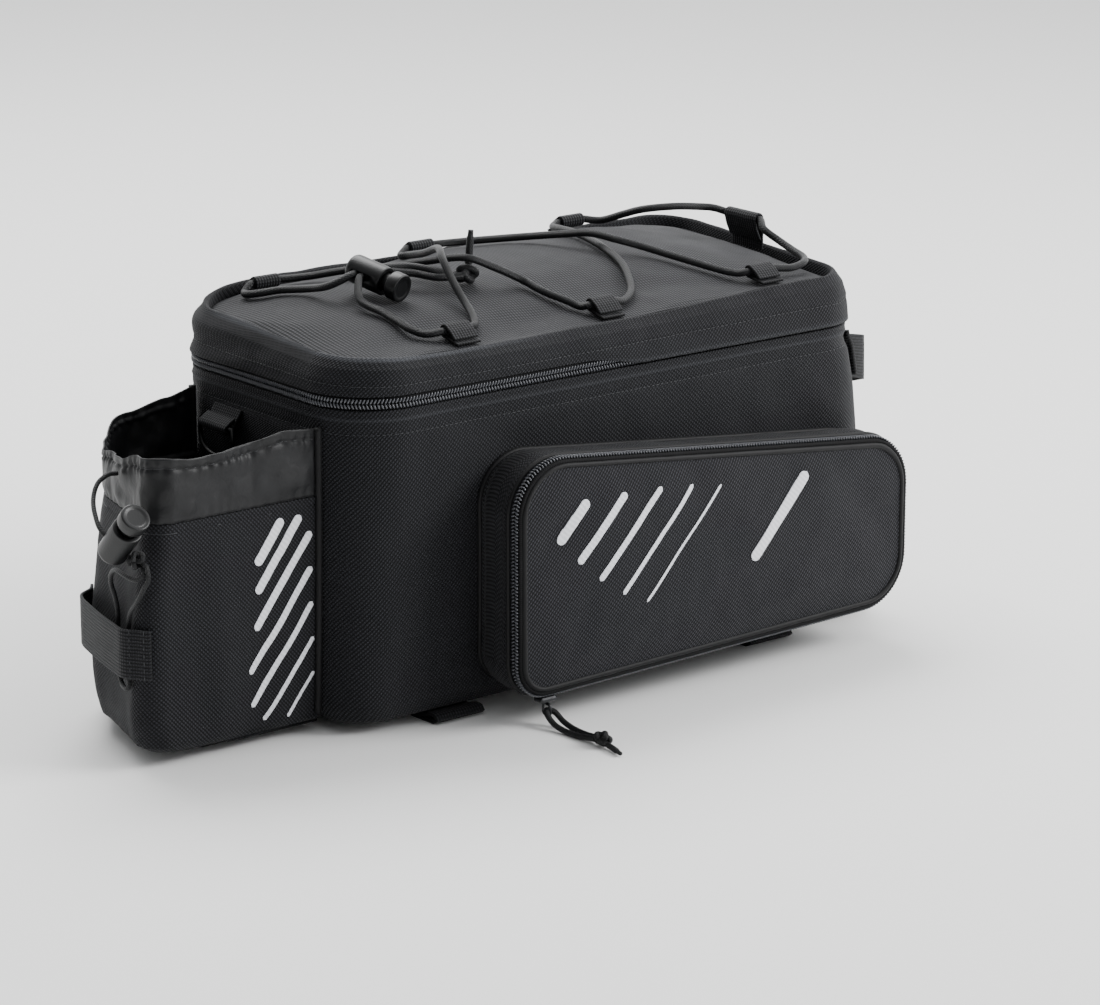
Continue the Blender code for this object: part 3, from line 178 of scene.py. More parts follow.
# Main compartment: coarse black polyester canvas over a thin foam, cut as one wall and a base and
# sewn at the bottom edge. It is a loft through the body's plans, with soft dents and two seam lines.
BODY_LENGTH = 0.340
BODY_WIDTH = 0.165
BODY_HEIGHT = 0.165
FRONT_LEAN = 0.020
REAR_LEAN = 0.004
SIDE_BULGE = 0.003
BOTTOM_ROUND = 0.010
REAR_RADIUS_TOP = 0.038
REAR_RADIUS_BOTTOM = 0.026
FRONT_RADIUS = 0.030
ZIP_WIDTH = 0.0064
BASE = 0.0038
HALF_LENGTH = BODY_LENGTH / 2
HALF_WIDTH = BODY_WIDTH / 2
ZIP_BOTTOM = BODY_HEIGHT - ZIP_WIDTH / 2
ZIP_TOP = BODY_HEIGHT + ZIP_WIDTH / 2
SHELL_HEIGHT = ZIP_BOTTOM - GAP
CANVAS_WALL = 0.0015

BODY_SECTIONS = np.array((
    # height, lean, bulge, inset
    (0.000, 1.00, 0.00, 1.00),
    (0.018, 1.00, 0.10, 0.30),
    (0.062, 0.97, 0.30, 0.00),
    (0.300, 0.76, 0.80, 0.00),
    (0.570, 0.51, 1.00, 0.00),
    (0.780, 0.31, 0.70, 0.00),
    (0.900, 0.12, 0.30, 0.00),
    (0.945, -0.07, 0.05, 0.00),
    (0.980, 0.00, 0.00, 0.00),
    (1.000, 0.00, 0.00, 0.00),
))

# Soft dents and ridges of the near side, by X and height; turn is the direction of their length
BODY_FOLDS = (
    # x, height, turn, half length, half width, rise
    (-0.118, 0.120, 35.0, 0.040, 0.011, 0.0010),
    (-0.124, 0.060, 62.0, 0.046, 0.012, -0.0010),
    (-0.040, 0.148, 8.0, 0.060, 0.006, 0.0007),
    (0.090, 0.132, 12.0, 0.070, 0.010, -0.0010),
    (0.140, 0.120, -40.0, 0.030, 0.010, 0.0010),
    (-0.090, 0.145, -30.0, 0.032, 0.008, -0.0007),
)


def blend(low, high, share):
    return low + (high - low) * share


def smooth(share):
    share = np.clip(share, 0.0, 1.0)
    return share * share * (3 - 2 * share)


def rounded(corners, radii, closed=True, steps=14):
    """Polygon with round corners, read as close points; an open path keeps its two ends sharp."""
    count = len(corners)
    path = []
    for i, corner in enumerate(corners):
        here = Vector(corner)
        if not closed and i in (0, count - 1):
            path.append(here)
            continue
        before = (Vector(corners[i - 1]) - here).normalized()
        after = (Vector(corners[(i + 1) % count]) - here).normalized()
        half = before.angle(after) / 2
        centre = here + (before + after).normalized() * (radii[i] / math.sin(half))
        start = here + before * (radii[i] / math.tan(half)) - centre
        end = here + after * (radii[i] / math.tan(half)) - centre
        side = math.copysign(1.0, start.x * end.y - start.y * end.x)
        for k in range(steps + 1):
            path.append(centre + Matrix.Rotation(side * (math.pi - 2 * half) * k / steps, 2) @ start)
    if closed:
        path.append(path[0])
    return np.array([tuple(p) for p in path])


def spaced(path, count, closed=True, measured=None):
    """Path read again at even steps of its length; a closed path leaves out its repeated end.

    measured is the number of its columns that the length is taken from, where not all."""
    path = np.asarray(path, float)
    steps = np.linalg.norm(np.diff(path[:, :measured], axis=0), axis=1)
    reach = np.concatenate(([0.0], np.cumsum(steps)))
    goals = np.linspace(0.0, reach[-1], count + 1)[:-1] if closed else np.linspace(0.0, reach[-1], count)
    return np.stack([np.interp(goals, reach, path[:, i]) for i in range(path.shape[1])], axis=1)


def unit(rows):
    """Each row at a length of one."""
    return rows / np.linalg.norm(rows, axis=1, keepdims=True)


def heading(points, closed=False):
    """Direction of a line at each of its points."""
    if closed:
        return unit(np.roll(points, -1, axis=0) - np.roll(points, 1, axis=0))
    return unit(np.gradient(points, axis=0))


def nearest(values, goal):
    """Index of the value that is nearest to a goal."""
    return int(np.argmin(np.abs(values - goal)))


def read(table, where, column=1):
    """Straight reading of one column of a table whose first column rises."""
    return np.interp(where, table[:, 0], table[:, column])


def body_shares(height):
    """Lean, bulge and inset of the body's plan at a height, as shares of their full sizes."""
    return [read(BODY_SECTIONS, height / SHELL_HEIGHT, column) for column in (1, 2, 3)]


def side_share(x):
    """How far along the side's bulge a place is: full in the middle, none at the ends."""
    return np.clip(1 - (x / HALF_LENGTH) ** 2, 0.0, None)


def body_plan(height, inset=0.0, count=420):
    """Plan of the body at a height above its bottom, from the rear face round by the near side."""
    lean, bulge, rounding = body_shares(height)
    inset = inset + rounding * BOTTOM_ROUND
    rear = -HALF_LENGTH - REAR_LEAN * max(lean, 0.0) + inset
    front = HALF_LENGTH + FRONT_LEAN * lean - inset
    side = HALF_WIDTH - inset
    rear_radius = blend(REAR_RADIUS_BOTTOM, REAR_RADIUS_TOP, height / SHELL_HEIGHT) - inset
    corners = ((rear, -side), (front, -side), (front, side), (rear, side))
    path = rounded(corners, (rear_radius, FRONT_RADIUS - inset, FRONT_RADIUS - inset, rear_radius))
    path = spaced(path, count)
    path[:, 1] *= 1 + SIDE_BULGE * bulge / HALF_WIDTH * side_share(path[:, 0])
    return path


def level(path, height):
    """Row of points from a plan and a height above the body's bottom."""
    return np.column_stack((path, np.full(len(path), BASE) + height))


def facing(grid, closed, out=None):
    """Unit normals of a grid of points, turned to point away from its middle or along a direction."""
    if closed:
        across = np.roll(grid, -1, axis=1) - np.roll(grid, 1, axis=1)
    else:
        across = np.gradient(grid, axis=1)
    normal = np.cross(across, np.gradient(grid, axis=0))
    normal /= np.maximum(np.linalg.norm(normal, axis=2, keepdims=True), 1e-12)
    guide = grid - grid.mean(axis=(0, 1)) if out is None else np.broadcast_to(out, grid.shape)
    return normal if (normal * guide).sum() >= 0 else -normal


def lumps(grid, *waves):
    """Sum of smooth noises at each point of a grid; each wave is its size, seed and depth."""
    total = 0.0
    for size, seed, depth in waves:
        shift = Vector((seed, 3.1 * seed, 0.0))
        flat = [noise.noise(Vector(p) / size + shift) for p in grid.reshape(-1, 3)]
        total = total + np.array(flat).reshape(grid.shape[:-1]) * depth
    return total


def folds(across, up, table):
    """Sum of soft ridges and dents, each from a row of a table of folds."""
    total = np.zeros(np.shape(across))
    for x, z, turn, length, width, rise in table:
        c, s = math.cos(math.radians(turn)), math.sin(math.radians(turn))
        along = ((across - x) * c + (up - z) * s) / length
        aside = (-(across - x) * s + (up - z) * c) / width
        total += rise * np.exp(-along ** 2 - aside ** 2)
    return total


def groove(where, place, width, depth):
    return -depth * np.exp(-((where - place) / width) ** 2)


def skin(name, grid, material, closed=False, closed_rows=False, wall=0.0, offset=-1.0, out=None,
         body="bag", replaces=(), highlight_and_wear=None, hem=0):
    """Mesh through a grid of points, with a UV map in metres and, where named, a wall's thickness.

    The map's height is measured from the row named hem. The piece is shaded smooth, set at its place
    along X, and rides on its body."""
    grid = np.asarray(grid, float)
    rows, columns = grid.shape[:2]
    guide = facing(grid, closed, out)
    plain = np.cross(np.roll(grid, -1, axis=1) - grid, np.roll(grid, -1, axis=0) - grid)
    inside_out = (plain[:-1, :-1] * guide[:-1, :-1]).sum() < 0
    wide = np.concatenate((grid, grid[:, :1]), axis=1) if closed else grid
    tall = np.concatenate((grid, grid[:1]), axis=0) if closed_rows else grid
    steps = np.linalg.norm(np.diff(wide, axis=1), axis=2)
    u = np.concatenate((np.zeros((rows, 1)), np.cumsum(steps, axis=1)), axis=1)
    rise = np.linalg.norm(np.diff(tall, axis=0), axis=2)
    v = np.concatenate((np.zeros((1, columns)), np.cumsum(rise, axis=0)), axis=0)
    v = v - v[hem]
    faces = []
    corners = []
    for r in range(rows if closed_rows else rows - 1):
        below = (r + 1) % rows
        for c in range(columns if closed else columns - 1):
            beside = (c + 1) % columns
            face = ((r, c), (r, beside), (below, beside), (below, c))
            spot = ((u[r, c], v[r, c]), (u[r, c + 1], v[r, beside]), (u[below, c + 1], v[r + 1, beside]),
                    (u[below, c], v[r + 1, c]))
            if inside_out:
                face = face[::-1]
                spot = spot[::-1]
            faces.append([a * columns + b for a, b in face])
            corners.extend(spot)
    mesh = bpy.data.meshes.new(name)
    points = grid.reshape(-1, 3) + np.array((MIDDLE, 0.0, 0.0))
    mesh.from_pydata(points.tolist(), [], faces)
    weave = mesh.uv_layers.new(name="weave")
    weave.data.foreach_set("uv", np.array(corners, np.float32).ravel())
    # The attribute carries the lighter colour painted on fold crests: painted highlight and rubbed wear
    if highlight_and_wear is not None:
        highlight_wear_attribute = mesh.attributes.new("highlight_and_wear", "FLOAT", "POINT")
        highlight_wear_attribute.data.foreach_set("value", np.asarray(highlight_and_wear, np.float32).ravel())
    shape = bmesh.new()
    shape.from_mesh(mesh)
    bmesh.ops.remove_doubles(shape, verts=shape.verts, dist=0.000002)
    bmesh.ops.dissolve_degenerate(shape, edges=shape.edges, dist=0.000001)
    shape.to_mesh(mesh)
    shape.free()
    mesh.shade_smooth()
    made = bpy.data.objects.new(name, mesh)
    bpy.context.scene.collection.objects.link(made)
    if wall:
        thick = made.modifiers.new("wall", "SOLIDIFY")
        thick.thickness = wall
        thick.offset = offset
        thick.use_even_offset = False
    return placed(made, material, body, replaces)


def placed(made, material, body="bag", replaces=()):
    """Gives a piece its material and the body that it rides on."""
    made.data.materials.clear()
    made.data.materials.append(material)
    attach(made, body)
    if replaces:
        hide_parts(*replaces)
    return made


def flat_map(made, up):
    """Lays a piece's UV map flat over X and another of its axes, so that the weave runs straight."""
    spots = made.data.uv_layers["weave"].data
    for loop in made.data.loops:
        spot = made.data.vertices[loop.vertex_index].co
        spots[loop.index].uv = (spot.x, spot[up])


# A wave texture's scale for rows one metre apart, and the lighter colour painted on fold crests: a painted
# highlight where they catch the light, with rubbed wear
WAVE = 2 * math.pi / 20
PAINTED_HIGHLIGHT_AND_RUB = "#55575c"


def cloth(name, dark, light, lean, pitch, pick, depth, roughness, sheen, cross=0.35):
    """Woven cloth from two crossed rows of threads on the piece's UV map, with a lighter colour painted on
    fold crests as painted highlight and rubbed wear.

    lean turns the main threads, pitch and pick are the spacings of the threads each way, and cross
    says how far the second row breaks the first."""
    made, tree, shader = finish(name, light, roughness, sheen=sheen, specular=0.2)
    spot = add(tree, "ShaderNodeTexCoord")
    turned_map = add(tree, "ShaderNodeMapping", {"Vector": spot.outputs["UV"],
                                                 "Rotation": (0.0, 0.0, math.radians(lean))})
    rows = []
    for way, spacing, wander in (("X", pitch, 0.7), ("Y", pick, 0.9)):
        rows.append(add(tree, "ShaderNodeTexWave",
                        {"Vector": turned_map.outputs["Vector"], "Scale": WAVE / spacing,
                         "Distortion": wander, "Detail": 1.0, "Detail Scale": 0.6},
                        bands_direction=way))
    breaks = add(tree, "ShaderNodeMath", {0: rows[1].outputs["Fac"], 1: cross, 2: 1.0 - cross},
                 operation="MULTIPLY_ADD")
    thread = add(tree, "ShaderNodeMath", {0: rows[0].outputs["Fac"], 1: breaks.outputs["Value"]},
                 operation="MULTIPLY")
    patches = add(tree, "ShaderNodeTexNoise", {"Vector": spot.outputs["Object"], "Scale": 55.0,
                                               "Detail": 4.0, "Roughness": 0.6})
    yarn = add(tree, "ShaderNodeTexNoise", {"Vector": spot.outputs["Object"], "Scale": 900.0,
                                            "Detail": 2.0})
    shade = thread
    for speck, amount in ((patches, 0.25), (yarn, 0.5)):
        uneven = add(tree, "ShaderNodeMath", {0: speck.outputs["Fac"], 1: amount, 2: 1.0 - amount / 2},
                     operation="MULTIPLY_ADD")
        shade = add(tree, "ShaderNodeMath", {0: shade.outputs["Value"], 1: uneven.outputs["Value"]},
                    operation="MULTIPLY")
    tone = add(tree, "ShaderNodeMix", {"Factor": shade.outputs["Value"], "A": linear(dark),
                                       "B": linear(light)}, data_type="RGBA")
    # Lighter colour painted on fold crests, by the piece's attribute: a painted highlight and rubbed wear
    highlight_wear_attribute = add(tree, "ShaderNodeAttribute", attribute_name="highlight_and_wear")
    highlight_and_wear = add(tree, "ShaderNodeMix", {"Factor": highlight_wear_attribute.outputs["Fac"], "A": tone.outputs["Result"],
                                       "B": linear(PAINTED_HIGHLIGHT_AND_RUB)}, data_type="RGBA")
    plug(shader, {"Base Color": highlight_and_wear.outputs["Result"]})
    bump(tree, shader, thread.outputs["Value"], depth)
    return made


# Polyester canvas of about 600 denier: matt, with a diagonal grain. Its threads are 0.7 mm apart in
# the real cloth and are drawn at 1.5 mm, so that the grain shows.
canvas = cloth("polyester_canvas", "#010102", "#2d2e33", 43.0, 0.0015, 0.0017, 0.0004, 0.75, 0.05,
               cross=0.75)
lid_canvas = cloth("ribbed_polyester_canvas", "#030304", "#34353a", 4.0, 0.0017, 0.0021, 0.0003,
                   0.72, 0.08, cross=0.6)

SEAM_LINE = 0.0118
SEAM_FOLD = 0.0046
body_heights = np.concatenate((np.linspace(0.0, 0.010, 7), np.linspace(0.013, 0.138, 36),
                               np.linspace(0.1395, SHELL_HEIGHT, 19)))
body_grid = np.array([level(body_plan(h), h) for h in body_heights])
body_out = facing(body_grid, True)
up = body_grid[:, :, 2] - BASE
near_side = smooth((-body_grid[:, :, 1] - 0.055) / 0.02)
hems = smooth((SHELL_HEIGHT - up) / 0.012) * smooth(up / 0.012)
relief = folds(body_grid[:, :, 0], up, BODY_FOLDS) * near_side
relief += folds(-body_grid[:, :, 0], up, BODY_FOLDS) * smooth((body_grid[:, :, 1] - 0.055) / 0.02)
relief += lumps(body_grid, (0.045, 1.0, 0.0011), (0.018, 2.0, 0.0004)) * hems
relief += groove(up, SHELL_HEIGHT - SEAM_LINE, 0.0009, 0.0005)
relief -= groove(up, SHELL_HEIGHT - SEAM_FOLD, 0.0008, 0.0005)
relief += groove(up, SHELL_HEIGHT - SEAM_FOLD + 0.0016, 0.0007, 0.0004)
# Lighter colour painted on the crest of the seam fold: a painted highlight, with rubbed wear
seam_fold_highlight_and_wear = np.exp(-((up - SHELL_HEIGHT + SEAM_FOLD) / 0.0006) ** 2) * 0.22
body_grid = body_grid + body_out * relief[:, :, None]
base_row = body_grid[0].copy()
base_rows = [base_row * np.array((s, s, 1.0)) for s in (0.0, 0.3, 0.6, 0.85, 0.97)]
full_grid = np.concatenate((base_rows, body_grid))
body_highlight_and_wear = np.concatenate((np.zeros((len(base_rows), body_grid.shape[1])), seam_fold_highlight_and_wear))
skin("body_canvas", full_grid, canvas, closed=True, wall=CANVAS_WALL, replaces=("body_shell",),
     highlight_and_wear=body_highlight_and_wear, hem=len(base_rows))


# Rows of stitches: doubled polyester thread, sunk into the canvas along each seam.
# One Geometry Nodes tree sets a rounded bar on each point of a row, and serves the zips' coils too.
def named(tree, name):
    """Vector attribute of the row's points."""
    made = add(tree, "GeometryNodeInputNamedAttribute", {"Name": name}, data_type="FLOAT_VECTOR")
    return next(s for s in made.outputs if s.enabled and s.name == "Attribute")


rows_tree = bpy.data.node_groups.new("row_of_bars", "GeometryNodeTree")
rows_tree.interface.new_socket("Points", in_out="INPUT", socket_type="NodeSocketGeometry")
for title in ("Length", "Width", "Height"):
    rows_tree.interface.new_socket(title, in_out="INPUT", socket_type="NodeSocketFloat")
rows_tree.interface.new_socket("Sides", in_out="INPUT", socket_type="NodeSocketInt")
rows_tree.interface.new_socket("Material", in_out="INPUT", socket_type="NodeSocketMaterial")
rows_tree.interface.new_socket("Bars", in_out="OUTPUT", socket_type="NodeSocketGeometry")
row_in = add(rows_tree, "NodeGroupInput")
bar = add(rows_tree, "GeometryNodeMeshUVSphere", {"Segments": row_in.outputs["Sides"], "Rings": 5,
                                                  "Radius": 0.5})
bar_size = add(rows_tree, "ShaderNodeCombineXYZ", {"X": row_in.outputs["Height"],
                                                   "Y": row_in.outputs["Width"],
                                                   "Z": row_in.outputs["Length"]})
bar_turn = add(rows_tree, "FunctionNodeAxesToRotation", {"Primary Axis": named(rows_tree, "along"),
                                                         "Secondary Axis": named(rows_tree, "out")},
               primary_axis="Z", secondary_axis="X")
bars = add(rows_tree, "GeometryNodeInstanceOnPoints", {"Points": row_in.outputs["Points"],
                                                       "Instance": bar.outputs["Mesh"],
                                                       "Rotation": bar_turn.outputs["Rotation"],
                                                       "Scale": bar_size.outputs["Vector"]})
real_bars = add(rows_tree, "GeometryNodeRealizeInstances", {"Geometry": bars.outputs["Instances"]})
painted = add(rows_tree, "GeometryNodeSetMaterial", {"Geometry": real_bars.outputs["Geometry"],
                                                     "Material": row_in.outputs["Material"]})
add(rows_tree, "NodeGroupOutput", {"Bars": painted.outputs["Geometry"]})


def bar_row(name, points, along, out, size, material, sides):
    """Bars of one size on points, each lying along its own direction with its top facing out."""
    mesh = bpy.data.meshes.new(name)
    mesh.from_pydata((np.asarray(points, float) + np.array((MIDDLE, 0.0, 0.0))).tolist(), [], [])
    for title, values in (("along", along), ("out", out)):
        mesh.attributes.new(title, "FLOAT_VECTOR", "POINT").data.foreach_set(
            "vector", np.asarray(values, np.float32).ravel())
    source = bpy.data.objects.new(name + "_points", mesh)
    bpy.context.scene.collection.objects.link(source)
    nodes = source.modifiers.new("bars", "NODES")
    nodes.node_group = rows_tree
    given = {"Length": size[0], "Width": size[1], "Height": size[2], "Sides": sides, "Material": material}
    for item in rows_tree.interface.items_tree:
        if item.in_out == "INPUT" and item.name in given:
            nodes[item.identifier] = given[item.name]
    bpy.context.view_layer.update()
    graph = bpy.context.evaluated_depsgraph_get()
    baked = bpy.data.meshes.new_from_object(source.evaluated_get(graph))
    bpy.data.objects.remove(source, do_unlink=True)
    baked.name = name
    baked.shade_smooth()
    made = bpy.data.objects.new(name, baked)
    bpy.context.scene.collection.objects.link(made)
    return placed(made, material)


def along_line(points, out, pitch, closed=False):
    """Places, directions and normals at even steps along a line of points on a surface."""
    line = np.column_stack((points, out))
    if closed:
        line = np.concatenate((line, line[:1]))
    length = np.linalg.norm(np.diff(line[:, :3], axis=0), axis=1).sum()
    line = spaced(line, max(3, int(length / pitch)), closed, 3 if closed else None)
    places, normals = line[:, :3], line[:, 3:]
    along = heading(places, closed)
    return places, along, unit(normals - along * (normals * along).sum(axis=1, keepdims=True))


STITCH = (0.0022, 0.00055, 0.0005)
STITCH_PITCH = 0.0030
STITCH_LIFT = 0.0001
THREAD_TWIST = 0.0006
thread_black, thread_tree, thread_shader = finish("polyester_thread", "#2a2b2e", 0.6, sheen=0.1,
                                                  specular=0.35)
thread_spot = add(thread_tree, "ShaderNodeTexCoord")
thread_twist = add(thread_tree, "ShaderNodeTexWave",
                   {"Vector": thread_spot.outputs["Object"], "Scale": WAVE / THREAD_TWIST,
                    "Distortion": 1.0}, bands_direction="DIAGONAL")
bump(thread_tree, thread_shader, thread_twist.outputs["Fac"], 0.0001, 0.5)


def stitches(name, points, out, closed=False):
    """Row of stitches along a line of points on a surface."""
    places, along, normals = along_line(points, out, STITCH_PITCH, closed)
    bar_row(name, places + normals * STITCH_LIFT, along, normals, STITCH, thread_black, 6)


seam_row = nearest(body_grid[:, 0, 2] - BASE, SHELL_HEIGHT - SEAM_LINE)
stitches("body_seam_stitches", body_grid[seam_row], body_out[seam_row], closed=True)


# Lid zip: two rows of a nylon coil on a woven tape, round the whole body at the lid's edge.
# The coil's turns lean against each other, so that they read as small chevrons.
ZIP_SETBACK = 0.0008
LID_TAPE_WALL = 0.0018
COIL_PITCH = 0.0018
COIL_BAR = (0.0029, 0.0011, 0.0016)
COIL_LEAN = math.radians(26.0)
COIL_HALF = 0.00130
COIL_STAND = 0.0008

tape = cloth("woven_zip_tape", "#020203", "#111113", 0.0, 0.0011, 0.0009, 0.0001, 0.8, 0.02)
coil_nylon, coil_tree, coil_shader = finish("nylon_coil", "#303135", 0.27, specular=0.75)
coil_shine = add(coil_tree, "ShaderNodeTexNoise", {"Scale": 350.0, "Detail": 2.0})
two_tones(coil_tree, coil_shader, coil_shine.outputs["Fac"], "#2a2b2f", "#54565c")


def coil(name, path, out, across, closed=True):
    """Two rows of leaning turns along a line, on either side of it."""
    places, along, normals = along_line(path, out, COIL_PITCH, closed)
    across = np.broadcast_to(across, places.shape)
    for title, side in (("lower", -1.0), ("upper", 1.0)):
        lie = across * math.cos(COIL_LEAN) + along * side * math.sin(COIL_LEAN)
        middle = places + across * side * COIL_HALF + normals * COIL_STAND
        bar_row(f"{name}_{title}_turns", middle, lie, normals, COIL_BAR, coil_nylon, 8)


zip_plan = body_plan(SHELL_HEIGHT, ZIP_SETBACK)
zip_grid = np.array([level(zip_plan, h) for h in np.linspace(ZIP_BOTTOM, ZIP_TOP, 5)])
skin("lid_zip_tape", zip_grid, tape, closed=True, wall=LID_TAPE_WALL,
     replaces=("lid_zip",))
zip_out = facing(zip_grid, True)
coil("lid_zip", zip_grid[2], zip_out[2], (0.0, 0.0, 1.0))


# Lid band: canvas strip that stands up from the zip, turned over a soft rim to the top panel.
# Its lower edge is a hemmed flap, which covers the coil from the middle of the sides forward.
LID_RIM_HEIGHT = 0.0197
LID_FAR_RISE = 0.0085
LID_NEAR_SAG = 0.004
LID_REAR_DIP = 0.55
LID_INSET = 0.006
LID_WALL = 0.0035
BAND_BOTTOM = ZIP_TOP + GAP
PANEL_CROWN = 0.010
PANEL_DROP = 0.006
PANEL_NEAR_DROP = 0.12
PANEL_NEAR_FALL = 1.4
PANEL_FAR_FALL = 0.6
FLAP_START = -0.030
FLAP_RUN = 0.045
FLAP_DROP = 0.0056
FLAP_STAND = 0.0016
FLAP_SHARE = 0.24
BAND_SEAM = 0.30

BAND_SECTIONS = np.array((
    # height, inset, swell
    (0.00, 0.00, 0.0),
    (0.10, 0.00, 0.0),
    (0.40, 0.12, 0.5),
    (0.72, 0.45, 0.5),
    (1.00, 1.00, 0.0),
))
PANEL_EDGE = np.array((
    # along, drop share
    (-1.00, 1.00),
    (-0.40, 0.85),
    (0.00, 0.15),
    (0.50, 0.10),
    (0.80, 0.60),
    (1.00, 1.00),
))

# The turn of the rim: inset past the band's own, and height over its top, towards the panel
RIM_TURN = (
    # inset, rise
    (0.0006, 0.0003),
    (0.0013, 0.0003),
    (0.0020, -0.0001),
    (0.0026, -0.0009),
)


def eased(table, where, column=1):
    """Smooth reading of one column of a table whose first column rises."""
    where = np.clip(where, table[0, 0], table[-1, 0])
    i = np.clip(np.searchsorted(table[:, 0], where) - 1, 0, len(table) - 2)
    share = (where - table[i, 0]) / (table[i + 1, 0] - table[i, 0])
    return blend(table[i, column], table[i + 1, column], smooth(share))


def rim_height(x, y):
    """Height of the lid's rim above the body's bottom: it sags along the near side."""
    across = (y / HALF_WIDTH + 1) / 2
    along = x / HALF_LENGTH + 0.28
    sag = LID_NEAR_SAG * (1 - smooth(across * 1.6)) * np.clip(1 - (along / 0.9) ** 2, 0.0, None)
    rise = LID_FAR_RISE * smooth(across) * (1 - LID_REAR_DIP * smooth((-x / HALF_LENGTH - 0.70) / 0.28))
    return BAND_BOTTOM + LID_RIM_HEIGHT + rise - sag


def panel_height(x, y):
    """Height of the lid's top panel above the body's bottom."""
    u = np.minimum(np.abs(x / (HALF_LENGTH - LID_INSET - LID_WALL)), 1.0)
    v = y / (HALF_WIDTH - LID_INSET - LID_WALL)
    far = smooth((v + 1) / 2) * eased(PANEL_EDGE, x / (HALF_LENGTH - LID_INSET - LID_WALL))
    drop = PANEL_DROP * np.maximum(np.maximum(PANEL_NEAR_DROP, far), u ** 8)
    fullness = np.where(v < 0, PANEL_NEAR_FALL, PANEL_FAR_FALL)
    crown = PANEL_CROWN * (1 - u ** 4) * (1 - np.minimum(np.abs(v), 1.0) ** 2) ** fullness
    return rim_height(x, y) - drop + crown


band_rows = []
band_shares = np.concatenate((np.linspace(0.0, 0.36, 16), np.linspace(0.41, 1.0, 22)))
for share in band_shares:
    inset = read(BAND_SECTIONS, share) * LID_INSET
    inset -= read(BAND_SECTIONS, share, 2) * SIDE_BULGE * 0.4
    plan = body_plan(SHELL_HEIGHT, inset)
    top = rim_height(plan[:, 0], plan[:, 1])
    band_rows.append(level(plan, blend(BAND_BOTTOM, top, share)))
for inset, rise in RIM_TURN:
    plan = body_plan(SHELL_HEIGHT, LID_INSET + inset)
    band_rows.append(level(plan, rim_height(plan[:, 0], plan[:, 1]) + rise))
edge_plan = body_plan(SHELL_HEIGHT, LID_INSET + LID_WALL)
band_rows.append(level(edge_plan, panel_height(edge_plan[:, 0], edge_plan[:, 1]) - 0.0028))
band_rows.append(level(body_plan(SHELL_HEIGHT, LID_INSET + LID_WALL), BAND_BOTTOM + 0.008))
band_rows.append(level(body_plan(SHELL_HEIGHT, LID_WALL), BAND_BOTTOM + 0.0008))
band_grid = np.array(band_rows)
outer_rows = len(band_shares) + len(RIM_TURN)
band_shell = band_grid[:outer_rows]
band_out = facing(band_shell, True)
flap = smooth((band_shell[:, :, 0] - FLAP_START) / FLAP_RUN)
rows_share = np.concatenate((band_shares, np.ones(len(RIM_TURN))))[:, None]
hang = np.clip(1 - rows_share / FLAP_SHARE, 0.0, 1.0) * flap
band_relief = lumps(band_shell, (0.040, 5.0, 0.0010), (0.014, 6.0, 0.00045))
band_relief *= smooth(rows_share / 0.2)
band_relief += hang * FLAP_STAND
band_relief += groove(rows_share, BAND_SEAM, 0.028, 0.0004) * (0.3 + 0.7 * flap)
rear_pull = smooth((-band_shell[:, :, 0] - 0.10) / 0.05) * smooth((band_shell[:, :, 1] + 0.02) / 0.06)
rear_creases = np.sin(rows_share * 9.0 + band_shell[:, :, 1] * 30.0)
band_relief += rear_pull * 0.0016 * rear_creases * (1 - rows_share) ** 0.5
band_shell = band_shell + band_out * band_relief[:, :, None]
band_shell[:, :, 2] -= hang ** 1.5 * FLAP_DROP
band_grid[:outer_rows] = band_shell
# Lighter colour painted along the rim's top fold at the rear and near side, and on the flap's lower edge: a
# painted highlight where the folds catch the light, with rubbed wear
rim_highlight_and_wear = np.exp(-((rows_share - 0.97) / 0.045) ** 2)
rim_highlight_and_wear = rim_highlight_and_wear * smooth((-band_shell[:, :, 0] - 0.02) / 0.11) * 0.55
rim_highlight_and_wear *= smooth((0.06 - band_shell[:, :, 1]) / 0.03)
rim_highlight_and_wear += np.exp(-(rows_share / 0.03) ** 2) * flap * 0.25
band_highlight_and_wear = np.zeros(band_grid.shape[:2])
band_highlight_and_wear[:outer_rows] = rim_highlight_and_wear
skin("lid_band_canvas", band_grid, canvas, closed=True, closed_rows=True, replaces=("lid_band",),
     highlight_and_wear=band_highlight_and_wear)
hem_row = nearest(band_shares, BAND_SEAM)
stitches("lid_hem_stitches", band_grid[hem_row], band_out[hem_row], closed=True)


# Top panel: one piece of ribbed canvas over a thin foam, sewn inside the rim. Its filling pulls it
# up in the middle, and the loops and the cord press soft folds into it.
PANEL_WALL = 0.002
LOOP_WIDTH = 0.015
LOOP_REACH = 0.0125
LOOP_FOOT = 0.0035
WEBBING_THICKNESS = 0.0012
NEAR_LOOPS = (-0.090, 0.003, 0.111)
FAR_LOOPS = (-0.121, -0.021, 0.081)
PANEL_FOLDS = (
    # x, y, turn, half length, half width, rise
    (-0.110, -0.052, 20.0, 0.034, 0.008, -0.0012),
    (-0.030, -0.054, 10.0, 0.042, 0.009, -0.0010),
    (0.060, -0.050, -12.0, 0.045, 0.010, -0.0012),
    (0.125, -0.010, 80.0, 0.040, 0.010, -0.0014),
    (0.138, 0.040, 65.0, 0.022, 0.007, 0.0016),
    (0.060, 0.058, 6.0, 0.030, 0.006, -0.0016),
    (-0.060, 0.030, 14.0, 0.050, 0.012, -0.0008),
)
panel_edge = body_plan(SHELL_HEIGHT, LID_INSET + LID_WALL + GAP, 320)
panel_shares = np.concatenate((np.linspace(0.0, 0.9, 30), np.linspace(0.92, 1.0, 9)))
panel_rows = [panel_edge * share for share in panel_shares]
